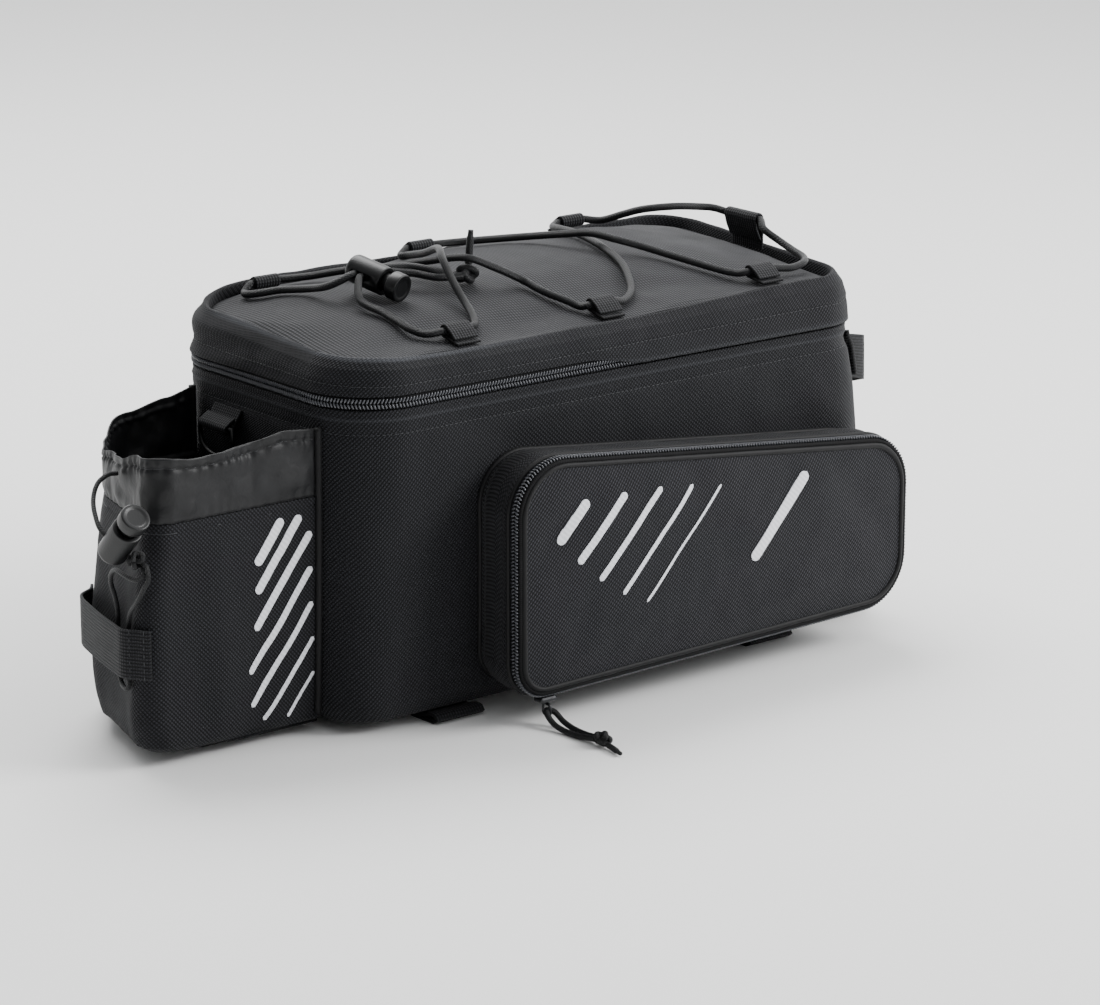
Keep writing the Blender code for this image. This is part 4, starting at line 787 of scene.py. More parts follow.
panel_grid = np.array([np.column_stack((row, BASE + panel_height(*row.T))) for row in panel_rows])
panel_relief = folds(panel_grid[:, :, 0], panel_grid[:, :, 1], PANEL_FOLDS)
panel_relief += lumps(panel_grid, (0.035, 9.0, 0.0009), (0.012, 10.0, 0.0003))
panel_relief += groove(panel_shares[:, None], 1.0, 0.02, 0.0010)
panel_grid[:, :, 2] += panel_relief * smooth((1.005 - panel_shares[:, None]) / 0.06)
panel_made = skin("lid_panel_canvas", panel_grid, lid_canvas, closed=True, wall=PANEL_WALL,
                  out=(0.0, 0.0, 1.0), replaces=("lid_panel",))
flat_map(panel_made, 1)


# Webbing loops: short lengths of ribbed black webbing, folded round the elastic cord. Three on each
# long side and a wider one at the front are sewn into the seam between the panel and the rim.
END_LOOP_WIDTH = 0.025
END_LOOP_HEIGHT = 0.0185
END_LOOP_Y = 0.003
BUNGEE_DIAMETER = 0.0040
webbing = cloth("ribbed_webbing", "#020203", "#2a2b2f", 0.0, 0.0017, 0.0014, 0.0004, 0.66, 0.05, cross=0.7)


def frame_at(origin, along, normal):
    """Matrix whose X is along, Y is the part of normal square to it, and Z is across."""
    x = Vector(along).normalized()
    z = x.cross(Vector(normal)).normalized()
    matrix = Matrix((x, z.cross(x), z)).transposed().to_4x4()
    matrix.translation = Vector(origin)
    return matrix


def arc_points(centre, radius, start, end, steps):
    angles = [math.radians(blend(start, end, k / steps)) for k in range(steps + 1)]
    return [(centre[0] + radius * math.cos(a), centre[1] + radius * math.sin(a)) for a in angles]


def curve_through(points, before=None, after=None, per_span=8):
    """Smooth curve through chosen points; before and after set the way in which it starts and ends."""
    knots = np.asarray([tuple(p) for p in points], float)
    first = 2 * knots[0] - knots[1] if before is None else np.asarray(tuple(before))
    last = 2 * knots[-1] - knots[-2] if after is None else np.asarray(tuple(after))
    knots = np.concatenate(([first], knots, [last]))
    made = []
    for a, b, c, d in zip(knots, knots[1:], knots[2:], knots[3:]):
        for t in np.arange(per_span) / per_span:
            made.append(0.5 * (2 * b + (c - a) * t + (2 * a - 5 * b + 4 * c - d) * t ** 2
                               + (3 * b - a - 3 * c + d) * t ** 3))
    made.append(knots[-2])
    return np.array(made)


def ribbon(name, path, width, turn, thickness=WEBBING_THICKNESS, replaces=(), count=60):
    """Strap: a flat path in the frame's XY plane, as wide as named along its Z."""
    path = spaced(path, count, closed=False)
    offsets = np.linspace(-width / 2, width / 2, 9)
    grid = [[turn @ Vector((x, y, across)) for across in offsets] for x, y in path]
    made = skin(name, grid, webbing, wall=thickness, offset=0.0, replaces=replaces)
    edge = made.modifiers.new("soft_edge", "BEVEL")
    edge.width = thickness * 0.3
    edge.segments = 2


def loop_profile(reach, cord_radius, foot):
    """Side view of a folded loop: out from its seam, round the cord and back to a foot."""
    low = 3 * GAP + WEBBING_THICKNESS / 2
    radius = cord_radius + GAP + WEBBING_THICKNESS / 2
    centre = (reach, low + radius)
    path = [(foot * 0.2, low), (reach * 0.5, low)]
    path += arc_points(centre, radius, -90, 90, 14)
    path += [(blend(foot, reach, 0.5), low + radius * 1.45), (foot, low + WEBBING_THICKNESS + GAP)]
    return path, centre


def lid_place(x, y):
    return Vector((x, y, BASE + float(panel_height(x, y))))


eyes = {}
seam = HALF_WIDTH - LID_INSET - LID_WALL - 3 * GAP
for prefix, y, places in (("near", -seam, NEAR_LOOPS), ("far", seam, FAR_LOOPS)):
    for number, x in enumerate(places, start=1):
        here = lid_place(x, y)
        there = lid_place(x, y - math.copysign(LOOP_REACH, y))
        title = f"{prefix}_lid_loop_{number}"
        turn = frame_at(here, there - here, (0, 0, 1))
        path, eye = loop_profile(LOOP_REACH, BUNGEE_DIAMETER / 2, LOOP_FOOT)
        ribbon(title + "_webbing", path, LOOP_WIDTH, turn, replaces=(title,), count=40)
        eyes[title] = (turn @ Vector((*eye, 0.0)), Vector((1.0, 0.0, 0.0)), LOOP_WIDTH / 2)
end_x = HALF_LENGTH - LID_INSET - LID_WALL - 2 * GAP
end_seat = float(panel_height(end_x - 2 * WEBBING_THICKNESS, END_LOOP_Y))
end_frame = frame_at((end_x, END_LOOP_Y, BASE + end_seat + GAP), (0.0, 0.0, 1.0), (-1, 0, 0))
path, eye = loop_profile(END_LOOP_HEIGHT, BUNGEE_DIAMETER / 2, 2 * LOOP_FOOT)
ribbon("end_lid_loop_webbing", path, END_LOOP_WIDTH, end_frame, replaces=("end_lid_loop",), count=46)
eyes["end_lid_loop"] = (end_frame @ Vector((*eye, 0.0)), Vector((0.0, 1.0, 0.0)), END_LOOP_WIDTH / 2)


# Zipped side pockets: gusset of the same canvas, piped at the body and at its zip, a coil zip that
# runs all round, and a padded face bound at its edge. The far one is a mirror of the near one.
POCKET_LENGTH = 0.262
POCKET_REAR_TOP = 0.136
POCKET_FRONT_TOP = 0.107
POCKET_REAR_BOTTOM = 0.0115
POCKET_FRONT_BOTTOM = 0.0165
POCKET_START = 0.097
POCKET_DEPTH = 0.031
POCKET_WALL = 0.0015
POCKET_PUFF = 0.002
POCKET_TAPER = 0.0035
POCKET_RADIUS = 0.028
POCKET_TOE_RADIUS = 0.018
FACE_CROWN = 0.004
ZIP_THICKNESS = 0.0024
PIPING = 0.0015
BINDING = 0.0030
BINDING_RISE = 0.0015
BINDING_OVERLAP = 0.0004
BINDING_WALL = 0.0005
RIM_PIPING = 0.0013
RIM_SETBACK = 0.0012
TAPE_SETBACK = 0.0006
FACE_WALL = 0.0018
FACE_LIP = 0.0002
FACE_TURN_IN = 0.0022

GUSSET_SECTIONS = np.array((
    # depth, puff
    (0.00, 0.0),
    (0.25, 0.8),
    (0.60, 1.0),
    (0.88, 0.3),
    (0.96, 0.0),
    (1.00, 0.0),
))
GUSSET_SEAM = 0.17
FACE_SEAM = 0.83

# Soft dents of a pocket's face, by X and height
FACE_FOLDS = (
    # x, height, turn, half length, half width, rise
    (-0.068, 0.100, 35.0, 0.030, 0.007, -0.0009),
    (-0.060, 0.040, 70.0, 0.030, 0.008, -0.0008),
    (0.020, 0.112, 4.0, 0.060, 0.006, 0.0007),
    (0.125, 0.085, -50.0, 0.030, 0.009, -0.0010),
    (0.050, 0.030, 8.0, 0.060, 0.008, 0.0006),
)

piping_cloth, piping_tree, piping_shader = finish("piping_tape", "#08080a", 0.6, sheen=0.02, specular=0.25)
grain(piping_tree, piping_shader, 1400.0, 2.0, 0.0002, 0.7)

# Printed reflective ink: silver grey beads, thin in places, so that the weave shows through
PRINT_WEAVE = 0.0016
ink, ink_tree, ink_shader = finish("reflective_print", "#dcdde2", 0.38, specular=0.6)
ink_spot = grain(ink_tree, ink_shader, 1500.0, 3.0, 0.0001, 0.6)
ink_weave = add(ink_tree, "ShaderNodeTexWave", {"Vector": ink_spot.outputs["Object"],
                                                "Scale": WAVE / PRINT_WEAVE, "Distortion": 1.5},
                bands_direction="DIAGONAL")
two_tones(ink_tree, ink_shader, ink_weave.outputs["Fac"], "#cfd0d6", "#e3e4e9")


def sweep(name, path, radius, material, closed=False, sides=12, replaces=()):
    """Round cord, piping or wire along a path, its UV map in metres along and around it."""
    path = np.asarray(path, float)
    along = heading(path, closed)
    side = np.cross(along[0], (0.0, 0.0, 1.0) if abs(along[0][2]) < 0.9 else (1.0, 0.0, 0.0))
    angles = np.linspace(0.0, 2 * math.pi, sides, endpoint=False)
    rings = []
    for place, way, reach in zip(path, along, np.broadcast_to(radius, len(path))):
        side = side - way * np.dot(side, way)
        side /= np.linalg.norm(side)
        other = np.cross(way, side)
        rings.append([place + (side * math.cos(a) + other * math.sin(a)) * reach for a in angles])
    rings = np.array(rings)
    guide = rings - path[:, None]
    if not closed:
        tips = [np.broadcast_to(place, rings[:1].shape) for place in (path[0], path[-1])]
        rings = np.concatenate((tips[0], rings, tips[1]))
        guide = np.concatenate((guide[:1], guide, guide[-1:]))
    return skin(name, rings, material, closed=True, closed_rows=closed, out=guide,
                replaces=replaces)


def body_side(x, height):
    """Distance of the body's side from the middle plane."""
    lean, bulge, rounding = body_shares(height)
    over = np.maximum(x - (HALF_LENGTH + FRONT_LEAN * lean - FRONT_RADIUS), 0.0)
    round_off = FRONT_RADIUS - np.sqrt(np.maximum(FRONT_RADIUS ** 2 - over ** 2, 0.0))
    return HALF_WIDTH - rounding * BOTTOM_ROUND - round_off + SIDE_BULGE * bulge * side_share(x)


def pocket_outline(inset, count=420):
    """Side pocket's outline in X and height, smaller by an inset."""
    rear = -POCKET_START + inset
    front = rear + POCKET_LENGTH - 2 * inset
    corners = ((rear, POCKET_REAR_BOTTOM + inset), (front, POCKET_FRONT_BOTTOM + inset),
               (front, POCKET_FRONT_TOP - inset), (rear, POCKET_REAR_TOP - inset))
    radii = (POCKET_TOE_RADIUS - inset, POCKET_RADIUS - inset, POCKET_RADIUS - inset, POCKET_RADIUS - inset)
    return spaced(rounded(corners, radii), count)


def upright(path, y):
    """Row of points from an outline in X and height, and a distance across."""
    return np.column_stack((path[:, 0], np.broadcast_to(y, len(path)), BASE + path[:, 1]))


PRINT_LIFT = 0.00025
PRINT_THICKNESS = 0.0001
PRINT_STEPS = 60


def decal(name, middle_line, width, surface):
    """Thin printed bar, laid on a surface along a line of points, as wide as named."""
    line = spaced(middle_line, PRINT_STEPS, closed=False)
    aside = np.cross(heading(line), (0.0, 1.0, 0.0))
    steps = np.arange(PRINT_STEPS)
    ends = np.minimum(steps, steps[::-1]) * np.linalg.norm(line[1] - line[0])
    half = np.sqrt(np.clip(1 - (1 - np.clip(ends / (width / 2), 0.0, 1.0)) ** 2, 0.03, 1.0)) * width / 2
    grid = np.array([line + aside * (half * s)[:, None] for s in np.linspace(-1.0, 1.0, 9)])
    made = skin(name, grid, ink, out=(0.0, -1.0, 0.0))
    lie = made.modifiers.new("lie", "SHRINKWRAP")
    lie.target = surface
    lie.wrap_method = "NEAREST_SURFACEPOINT"
    lie.wrap_mode = "ABOVE_SURFACE"
    lie.offset = PRINT_LIFT
    film = made.modifiers.new("film", "SOLIDIFY")
    film.thickness = PRINT_THICKNESS
    film.offset = 1.0


ZIP_START = HALF_WIDTH + POCKET_DEPTH + GAP


def side_pocket(prefix, side):
    """Gusset, piping, zip and face of one side pocket; side is -1 on the near side."""
    depths = np.concatenate((np.linspace(-0.05, 0.10, 5), np.linspace(0.16, 0.88, 16), (0.93, 0.97, 1.0)))
    rows = []
    for depth in depths:
        inset = blend(POCKET_TAPER, 0.0, depth)
        inset -= read(GUSSET_SECTIONS, depth) * POCKET_PUFF
        path = pocket_outline(inset)
        seat = body_side(path[:, 0], path[:, 1]) + GAP
        rows.append(upright(path, side * blend(seat, HALF_WIDTH + POCKET_DEPTH, depth)))
    grid = np.array(rows)
    out = facing(grid, True)
    share = depths[:, None]
    relief = lumps(grid, (0.030, 20.0 + side, 0.0012), (0.012, 24.0, 0.0005))
    relief *= smooth(share / 0.3) * smooth((1 - share) / 0.25)
    relief += groove(share, GUSSET_SEAM, 0.035, 0.0005) + groove(share, FACE_SEAM, 0.03, 0.0004)
    grid = grid + out * relief[:, :, None]
    skin(prefix + "_pocket_gusset_canvas", grid, canvas, closed=True, wall=POCKET_WALL,
         replaces=(prefix + "_pocket_gusset",))
    foot = pocket_outline(POCKET_TAPER - PIPING * 0.5)
    foot_y = side * (body_side(foot[:, 0], foot[:, 1]) + PIPING * 0.6)
    sweep(prefix + "_pocket_foot_piping", upright(foot, foot_y), PIPING, piping_cloth, closed=True)
    rim = pocket_outline(-0.0004)
    rim_y = side * (HALF_WIDTH + POCKET_DEPTH - RIM_SETBACK)
    sweep(prefix + "_pocket_rim_piping", upright(rim, rim_y), RIM_PIPING, piping_cloth,
          closed=True)
    row = nearest(depths, GUSSET_SEAM)
    stitches(prefix + "_gusset_stitches", grid[row], out[row], closed=True)
    steps = np.linspace(0.0, ZIP_WIDTH, 5)
    tape_line = pocket_outline(TAPE_SETBACK)
    tape_grid = np.array([upright(tape_line, side * (ZIP_START + step)) for step in steps])
    tape_out = facing(tape_grid, True)
    skin(prefix + "_pocket_zip_tape", tape_grid, tape, closed=True,
         wall=ZIP_THICKNESS - TAPE_SETBACK, replaces=(prefix + "_pocket_zip",))
    coil(prefix + "_pocket_zip", tape_grid[2], tape_out[2], (0.0, side, 0.0))
    face_y = ZIP_START + ZIP_WIDTH
    edge = pocket_outline(ZIP_THICKNESS + GAP)
    middle = edge.mean(axis=0)
    shares = np.concatenate((np.linspace(0.0, 0.90, 28), np.linspace(0.915, 0.975, 8)))
    rows = []
    for s in shares:
        crown = FACE_CROWN * (1 - min(s / 0.97, 1.0) ** 3)
        rows.append(upright(middle + (edge - middle) * s, side * (face_y + crown)))
    face_grid = np.array(rows)
    dents = folds(face_grid[:, :, 0], face_grid[:, :, 2] - BASE, FACE_FOLDS)
    dents += lumps(face_grid, (0.030, 30.0 + side, 0.0008), (0.011, 33.0, 0.0003))
    face_grid[:, :, 1] += side * dents * smooth((1 - shares[:, None]) / 0.15)
    lip = upright(pocket_outline(ZIP_THICKNESS + GAP), side * (face_y + FACE_LIP))
    back = upright(pocket_outline(ZIP_THICKNESS + GAP + TAPE_SETBACK), side * (face_y - FACE_TURN_IN))
    face_grid = np.concatenate((face_grid, (lip, back)))
    face = skin(prefix + "_pocket_face_canvas", face_grid, face_canvas, closed=True,
                wall=FACE_WALL, out=(0.0, side, 0.0), replaces=(prefix + "_pocket_face",))
    flat_map(face, 2)
    bound = []
    for turn in np.linspace(-20.0, 200.0, 11):
        c, s = math.cos(math.radians(turn)), math.sin(math.radians(turn))
        path = pocket_outline(ZIP_THICKNESS + GAP + BINDING * (1 - c) / 2 - BINDING_OVERLAP)
        bound.append(upright(path, side * (face_y - BINDING_OVERLAP + BINDING_RISE * s)))
    bound = np.array(bound)
    bound_out = facing(bound, True, (0.0, side, 0.0))
    bound += bound_out * lumps(bound, (0.009, 36.0, 0.00022))[:, :, None]
    skin(prefix + "_pocket_binding", bound, piping_cloth, closed=True,
         wall=BINDING_WALL, out=(0.0, side, 0.0))
    return face


face_canvas = cloth("face_canvas", "#010102", "#303137", 40.0, 0.0015, 0.0018, 0.0004, 0.72, 0.05,
                    cross=0.7)
near_face = side_pocket("near", -1)
far_face = side_pocket("far", 1)

# Plain reflective bars on each pocket's face: five slanted ones, each longer and thinner than the
# one before, and one alone
BAR_SLANT = math.radians(47.0)
FACE_BARS = (
    # x and height of the middle, length, width
    (-0.064, 0.100, 0.027, 0.0056),
    (-0.046, 0.094, 0.044, 0.0046),
    (-0.028, 0.088, 0.058, 0.0036),
    (-0.010, 0.082, 0.068, 0.0026),
    (0.007, 0.077, 0.073, 0.0016),
    (0.072, 0.080, 0.056, 0.0066),
)
for title, side, face in (("near", -1, near_face), ("far", 1, far_face)):
    for number, (x, height, length, width) in enumerate(FACE_BARS, start=1):
        reach = np.linspace(-length / 2, length / 2, 12)
        line = np.column_stack((x + reach * math.cos(BAR_SLANT),
                                np.full(12, side * (ZIP_START + ZIP_WIDTH + FACE_CROWN + 0.001)),
                                BASE + height + reach * math.sin(BAR_SLANT)))
        decal(f"{title}_face_bar_{number}", line, width, face)


# Bottle pocket: a canvas wall with a floor, sewn to the rear face, and above its hem a thin nylon
# collar that the draw cord gathers. Both are one layer, open at the top.
BOTTLE_REACH = 0.103
BOTTLE_HALF = 0.0575
BOTTLE_BOTTOM = 0.003
BOTTLE_WALL = 0.002
HEM_HEIGHT = 0.118
COLLAR_HEIGHT = 0.033
COLLAR_WALL = 0.0012
COLLAR_RIPPLE = 0.003
BOTTLE_SWELL = 0.003
HEM_DEPTH = 0.0045
NYLON_WALL = 0.0008
SIDE_BINDING = 0.0019

BOTTLE_CORNERS = (
    # reach, across, radius
    (0.00, -1.00, 0.00),
    (1.00, -0.99, 0.20),
    (0.83, 0.18, 0.55),
    (0.55, 0.93, 0.45),
    (0.00, 0.92, 0.00),
)
BOTTLE_SECTIONS = np.array((
    # height, shrink, swell
    (0.000, 0.07, 0.0),
    (0.030, 0.02, 0.1),
    (0.120, 0.00, 0.5),
    (0.450, 0.00, 1.0),
    (0.800, 0.02, 0.6),
    (1.000, 0.04, 0.0),
))
RIM_FOLDS = np.array((
    # along, height share, ripple share
    (0.00, 1.03, 0.0),
    (0.08, 1.08, 0.6),
    (0.16, 0.98, -0.5),
    (0.27, 0.92, 0.3),
    (0.35, 0.98, -0.3),
    (0.42, 0.94, -0.6),
    (0.50, 0.78, 0.4),
    (0.58, 0.70, -0.6),
    (0.66, 0.60, 0.5),
    (0.75, 0.62, -0.4),
    (0.85, 0.80, 0.4),
    (0.93, 0.95, -0.2),
    (1.00, 1.05, 0.0),
))


def body_rear(y, height):
    """X of the body's rear face, round corners included."""
    lean, bulge, rounding = body_shares(height)
    inset = rounding * BOTTOM_ROUND
    radius = blend(REAR_RADIUS_BOTTOM, REAR_RADIUS_TOP, height / SHELL_HEIGHT) - inset
    rear = -HALF_LENGTH - REAR_LEAN * np.maximum(lean, 0.0) + inset
    over = np.maximum(np.abs(y) - (HALF_WIDTH - inset - radius), 0.0)
    return rear + radius - np.sqrt(np.maximum(radius ** 2 - over ** 2, 0.0))


def pocket_seat(y, height, wall):
    return body_rear(np.maximum(np.abs(y) - wall, 0.0), np.maximum(height, BOTTOM_ROUND)) - GAP


def bottle_plan(shrink, height, count=300):
    """Plan of the bottle pocket at a height, from the near side of the body to the far."""
    corners = []
    for reach, across, radius in BOTTLE_CORNERS:
        y = across * BOTTLE_HALF * (1 - shrink * 0.5)
        corners.append((float(pocket_seat(y, height, BOTTLE_WALL)) - reach * BOTTLE_REACH * (1 - shrink), y))
    radii = [row[2] * BOTTLE_HALF for row in BOTTLE_CORNERS]
    return spaced(rounded(corners, radii, closed=False), count, closed=False)


def bottle_outline(height, count=300):
    """Plan of the pocket's wall at a height below the hem, pushed out by what it holds."""
    share = (height - BOTTLE_BOTTOM) / (HEM_HEIGHT - BOTTLE_BOTTOM)
    shrink, swell = (read(BOTTLE_SECTIONS, share, column) for column in (1, 2))
    path = bottle_plan(shrink, height, count)
    centre = np.array(((path[0, 0] + path[-1, 0]) / 2 - BOTTLE_REACH / 2, 0.0))
    away = unit(path - centre)
    return path + away * (swell * BOTTLE_SWELL * np.sin(math.pi * np.linspace(0.0, 1.0, count)))[:, None]


BOTTLE_FOLDS = (
    # share of the plan, height, turn, half length, half width, rise
    (0.13, 0.030, 70.0, 0.030, 0.050, -0.0016),
    (0.22, 0.060, 84.0, 0.050, 0.030, 0.0012),
    (0.30, 0.100, 60.0, 0.030, 0.040, -0.0010),
    (0.40, 0.020, 40.0, 0.030, 0.060, 0.0018),
    (0.46, 0.085, 80.0, 0.040, 0.040, -0.0014),
    (0.60, 0.050, 95.0, 0.050, 0.040, 0.0012),
    (0.80, 0.080, 100.0, 0.050, 0.050, -0.0012),
)
wall_heights = np.concatenate((np.linspace(BOTTLE_BOTTOM, 0.012, 6),
                               np.linspace(0.015, HEM_HEIGHT - 0.006, 30),
                               np.linspace(HEM_HEIGHT - 0.0052, HEM_HEIGHT, 8)))
wall_grid = np.array([level(bottle_outline(h), h) for h in wall_heights])
wall_out = facing(wall_grid, False)
wall_up = wall_heights[:, None]
shares = np.linspace(0.0, 1.0, wall_grid.shape[1])[None, :]
ends = smooth(shares / 0.05) * smooth((1 - shares) / 0.05)
wall_relief = folds(shares + 0 * wall_up, wall_up + 0 * shares, BOTTLE_FOLDS)
wall_relief += lumps(wall_grid, (0.034, 40.0, 0.0015), (0.013, 41.0, 0.0005))
wall_relief *= (ends * smooth((HEM_HEIGHT - wall_up) / 0.02)
                * smooth((wall_up - BOTTLE_BOTTOM + 0.004) / 0.012))
wall_relief += groove(wall_up, HEM_HEIGHT - HEM_DEPTH, 0.0007, 0.0004)
wall_grid = wall_grid + wall_out * wall_relief[:, :, None]
seat_row = wall_grid[0].copy()
seat_row[:, 0] = pocket_seat(seat_row[:, 1], BOTTLE_BOTTOM, BOTTLE_WALL)
floor_rows = [blend(seat_row, wall_grid[0], s) for s in (0.0, 0.3, 0.6, 0.85, 0.96)]
pocket_wall = skin("bottle_pocket_canvas", np.concatenate((floor_rows, wall_grid)), canvas,
                   wall=BOTTLE_WALL, out=np.concatenate((0 * wall_out[:5] + (0.0, 0.0, -1.0), wall_out)),
                   replaces=("bottle_pocket_wall",), hem=len(floor_rows))
hem_row = nearest(wall_heights, HEM_HEIGHT - HEM_DEPTH)
stitches("bottle_hem_stitches", wall_grid[hem_row], wall_out[hem_row])

# The nylon is smooth and thin: it shines softly, and its gathers run up from the hem.
nylon, nylon_tree, nylon_shader = finish("coated_nylon", "#101113", 0.52, sheen=0.03, specular=0.34)
nylon_spot = grain(nylon_tree, nylon_shader, 130.0, 3.0, 0.0008, 0.5, twist=1.2)
nylon_cloud = add(nylon_tree, "ShaderNodeTexNoise", {"Vector": nylon_spot.outputs["Object"], "Scale": 60.0,
                                                     "Detail": 4.0})
two_tones(nylon_tree, nylon_shader, nylon_cloud.outputs["Fac"], "#040405", "#111215")
CHANNEL = 0.84
collar_path = bottle_plan(BOTTLE_SECTIONS[-1, 1], HEM_HEIGHT, 360)
collar_along = np.linspace(0.0, 1.0, 360)
collar_centre = np.array((collar_path[0, 0] - BOTTLE_REACH / 2, 0.0))
collar_away = unit(collar_path - collar_centre)
collar_shares = np.concatenate((np.linspace(0.0, 0.80, 18), np.linspace(0.82, 1.0, 8)))
rise = eased(RIM_FOLDS, collar_along, 1) * COLLAR_HEIGHT
sway = eased(RIM_FOLDS, collar_along, 2) * COLLAR_RIPPLE
collar_rows = []
for h in collar_shares:
    path = collar_path + collar_away * (sway * h)[:, None]
    top = HEM_HEIGHT + GAP + rise * h
    seat = pocket_seat(path[:, 1], top, COLLAR_WALL + COLLAR_RIPPLE)
    path[:, 0] = np.minimum(path[:, 0], seat)
    collar_rows.append(np.column_stack((path, BASE + top)))
collar_grid = np.array(collar_rows)
collar_out = facing(collar_grid, False)
collar_up = collar_shares[:, None]
gather = np.sin(collar_along * 260.0 + 3.0 * np.sin(collar_along * 31.0))[None, :]
tightness = np.exp(-((collar_up - CHANNEL) / 0.10) ** 2) + 0.5 * np.exp(-collar_up / 0.2)
collar_relief = gather * 0.00045 * tightness
collar_relief += lumps(collar_grid, (0.022, 50.0, 0.0022), (0.009, 51.0, 0.0009)) * smooth(collar_up / 0.25)
collar_relief += groove(collar_up, CHANNEL, 0.03, 0.0009)
collar_relief *= smooth(collar_along[None, :] / 0.04) * smooth((1 - collar_along[None, :]) / 0.04)
collar_grid = collar_grid + collar_out * collar_relief[:, :, None]
# Its lower edge is tucked inside the canvas wall, so no light comes through the seam.
TUCK_DEPTH = 0.003
tuck_path = collar_path - collar_away * (BOTTLE_WALL + 3 * GAP)
tuck = [np.column_stack((tuck_path, np.full(len(tuck_path), BASE + HEM_HEIGHT + rise_up)))
        for rise_up in (-TUCK_DEPTH, GAP)]
tucked_grid = np.concatenate((tuck, collar_grid))
tucked_out = np.concatenate((collar_out[:1], collar_out[:1], collar_out))
collar = skin("bottle_collar_nylon", tucked_grid, nylon, wall=NYLON_WALL, out=tucked_out,
              replaces=("bottle_pocket_collar",))
channel_row = nearest(collar_shares, CHANNEL)
stitches("bottle_channel_stitches", collar_grid[channel_row], collar_out[channel_row])

# Binding tape over the pocket's two side seams, from its floor up past the collar
for title, column, out_y in (("near", 0, -1.0), ("far", -1, 1.0)):
    edge_line = np.concatenate((wall_grid[2:, column], collar_grid[1:, column]))
    edge_line = spaced(edge_line, 90, closed=False)
    edge_line[:, 0] -= 0.0012
    edge_line[:, 1] += out_y * 0.0006
    sweep(f"bottle_{title}_binding", edge_line, SIDE_BINDING, piping_cloth)

# Plain slanted reflective bars on the near side of the bottle pocket
BOTTLE_BARS = (
    # share along the plan and height of the upper end, length, width
    (0.080, 0.110, 0.026, 0.0052),
    (0.040, 0.110, 0.044, 0.0048),
    (0.018, 0.101, 0.056, 0.0043),
    (0.018, 0.083, 0.061, 0.0038),
    (0.018, 0.065, 0.060, 0.0032),
    (0.018, 0.047, 0.048, 0.0026),
    (0.018, 0.029, 0.026, 0.0020),
)
BOTTLE_SLANT = math.radians(52.0)
near_wall = bottle_outline(0.06, 1200)
for number, (start, height, length, width) in enumerate(BOTTLE_BARS, start=1):
    reach = np.linspace(0.0, length, 14)
    step = np.linalg.norm(near_wall[1] - near_wall[0])
    columns = (start * 1199 + reach * math.cos(BOTTLE_SLANT) / step).astype(int)
    line = np.column_stack((near_wall[columns], BASE + height - reach * math.sin(BOTTLE_SLANT)))
    decal(f"bottle_bar_{number}", line, width, pocket_wall)


# Webbing: the light loop across the bottle pocket, the handle at the front, the straps beneath and
# the tab with its ring at the rear. All are black ribbed tape, sewn down with doubled rows.
HANDLE_WIDTH = 0.025
HANDLE_THICKNESS = 0.002
HANDLE_HEIGHT = 0.141
HANDLE_HALF_SPAN = 0.066
HANDLE_REACH = 0.024
HANDLE_DROOP = 0.015
HANDLE_FRONT = HALF_LENGTH + FRONT_LEAN * 0.3 + HANDLE_REACH
STRAP_WIDTH = 0.030
STRAP_THICKNESS = 0.0016
STRAP_HALF_REACH = 0.078
STRAP_LAP = 0.042
STRAP_FOLD = 0.0085
STRAP_WALL = STRAP_THICKNESS * 0.95
STRAPS = (("rear", -0.108), ("front", 0.100))
RING_TAB_Y = 0.022
RING_TAB_HEIGHT = 0.148
RING_TAB_WIDTH = 0.024
RING_TAB_REACH = 0.013
RING_WIRE = 0.0024
RING_DROP = 0.016
BAND_WIDTH = 0.025
BAND_HEIGHT = 0.055
BAND_THICKNESS = 0.0015
BAND_STAND = 0.0052
BAND_START = 0.360
BAND_END = 0.68
BAND_STANDS = np.array((
    # along, stand share
    (0.00, 0.0),
    (0.06, 0.0),
    (0.15, 0.9),
    (0.40, 1.0),
    (0.80, 0.9),
    (0.94, 0.0),
    (1.00, 0.0),
))
HANDLE_ROWS = np.array((
    # along the half span, reach share, droop share
    (0.00, 0.97, 1.0),
    (0.30, 1.00, 1.0),
    (0.62, 1.00, 0.8),
    (0.76, 0.80, 0.6),
    (0.84, 0.30, 0.3),
    (0.90, 0.00, 0.1),
    (1.00, 0.00, 0.0),
))


def body_front(height):
    return HALF_LENGTH + FRONT_LEAN * body_shares(height)[0]


wall = bottle_outline(BAND_HEIGHT, 900)
wall_side = heading(wall)
wall_normal = np.column_stack((wall_side[:, 1], -wall_side[:, 0]))
wall_normal *= np.sign((wall_normal * (wall - wall.mean(axis=0))).sum())
along = np.linspace(0.0, 1.0, 60)
picked = (blend(BAND_START, BAND_END, along) * 899).astype(int)
stand = 2 * GAP + BAND_THICKNESS / 2 + BAND_STAND * eased(BAND_STANDS, along)
band_path = wall[picked] + wall_normal[picked] * stand[:, None]
band_turn = Matrix.Translation((0.0, 0.0, BASE + BAND_HEIGHT))
ribbon("light_loop_webbing", band_path, BAND_WIDTH, band_turn, BAND_THICKNESS, replaces=("light_loop",))
for number, place in enumerate((2, 6), start=1):
    away = wall_normal[picked[place]]
    spot = band_path[place] + away * BAND_THICKNESS * 0.5
    line = [(*spot, BASE + BAND_HEIGHT + z) for z in np.linspace(-0.0115, 0.0115, 20)]
    stitches(f"light_loop_stitches_{number}", line, [(*away, 0.0)] * 20)

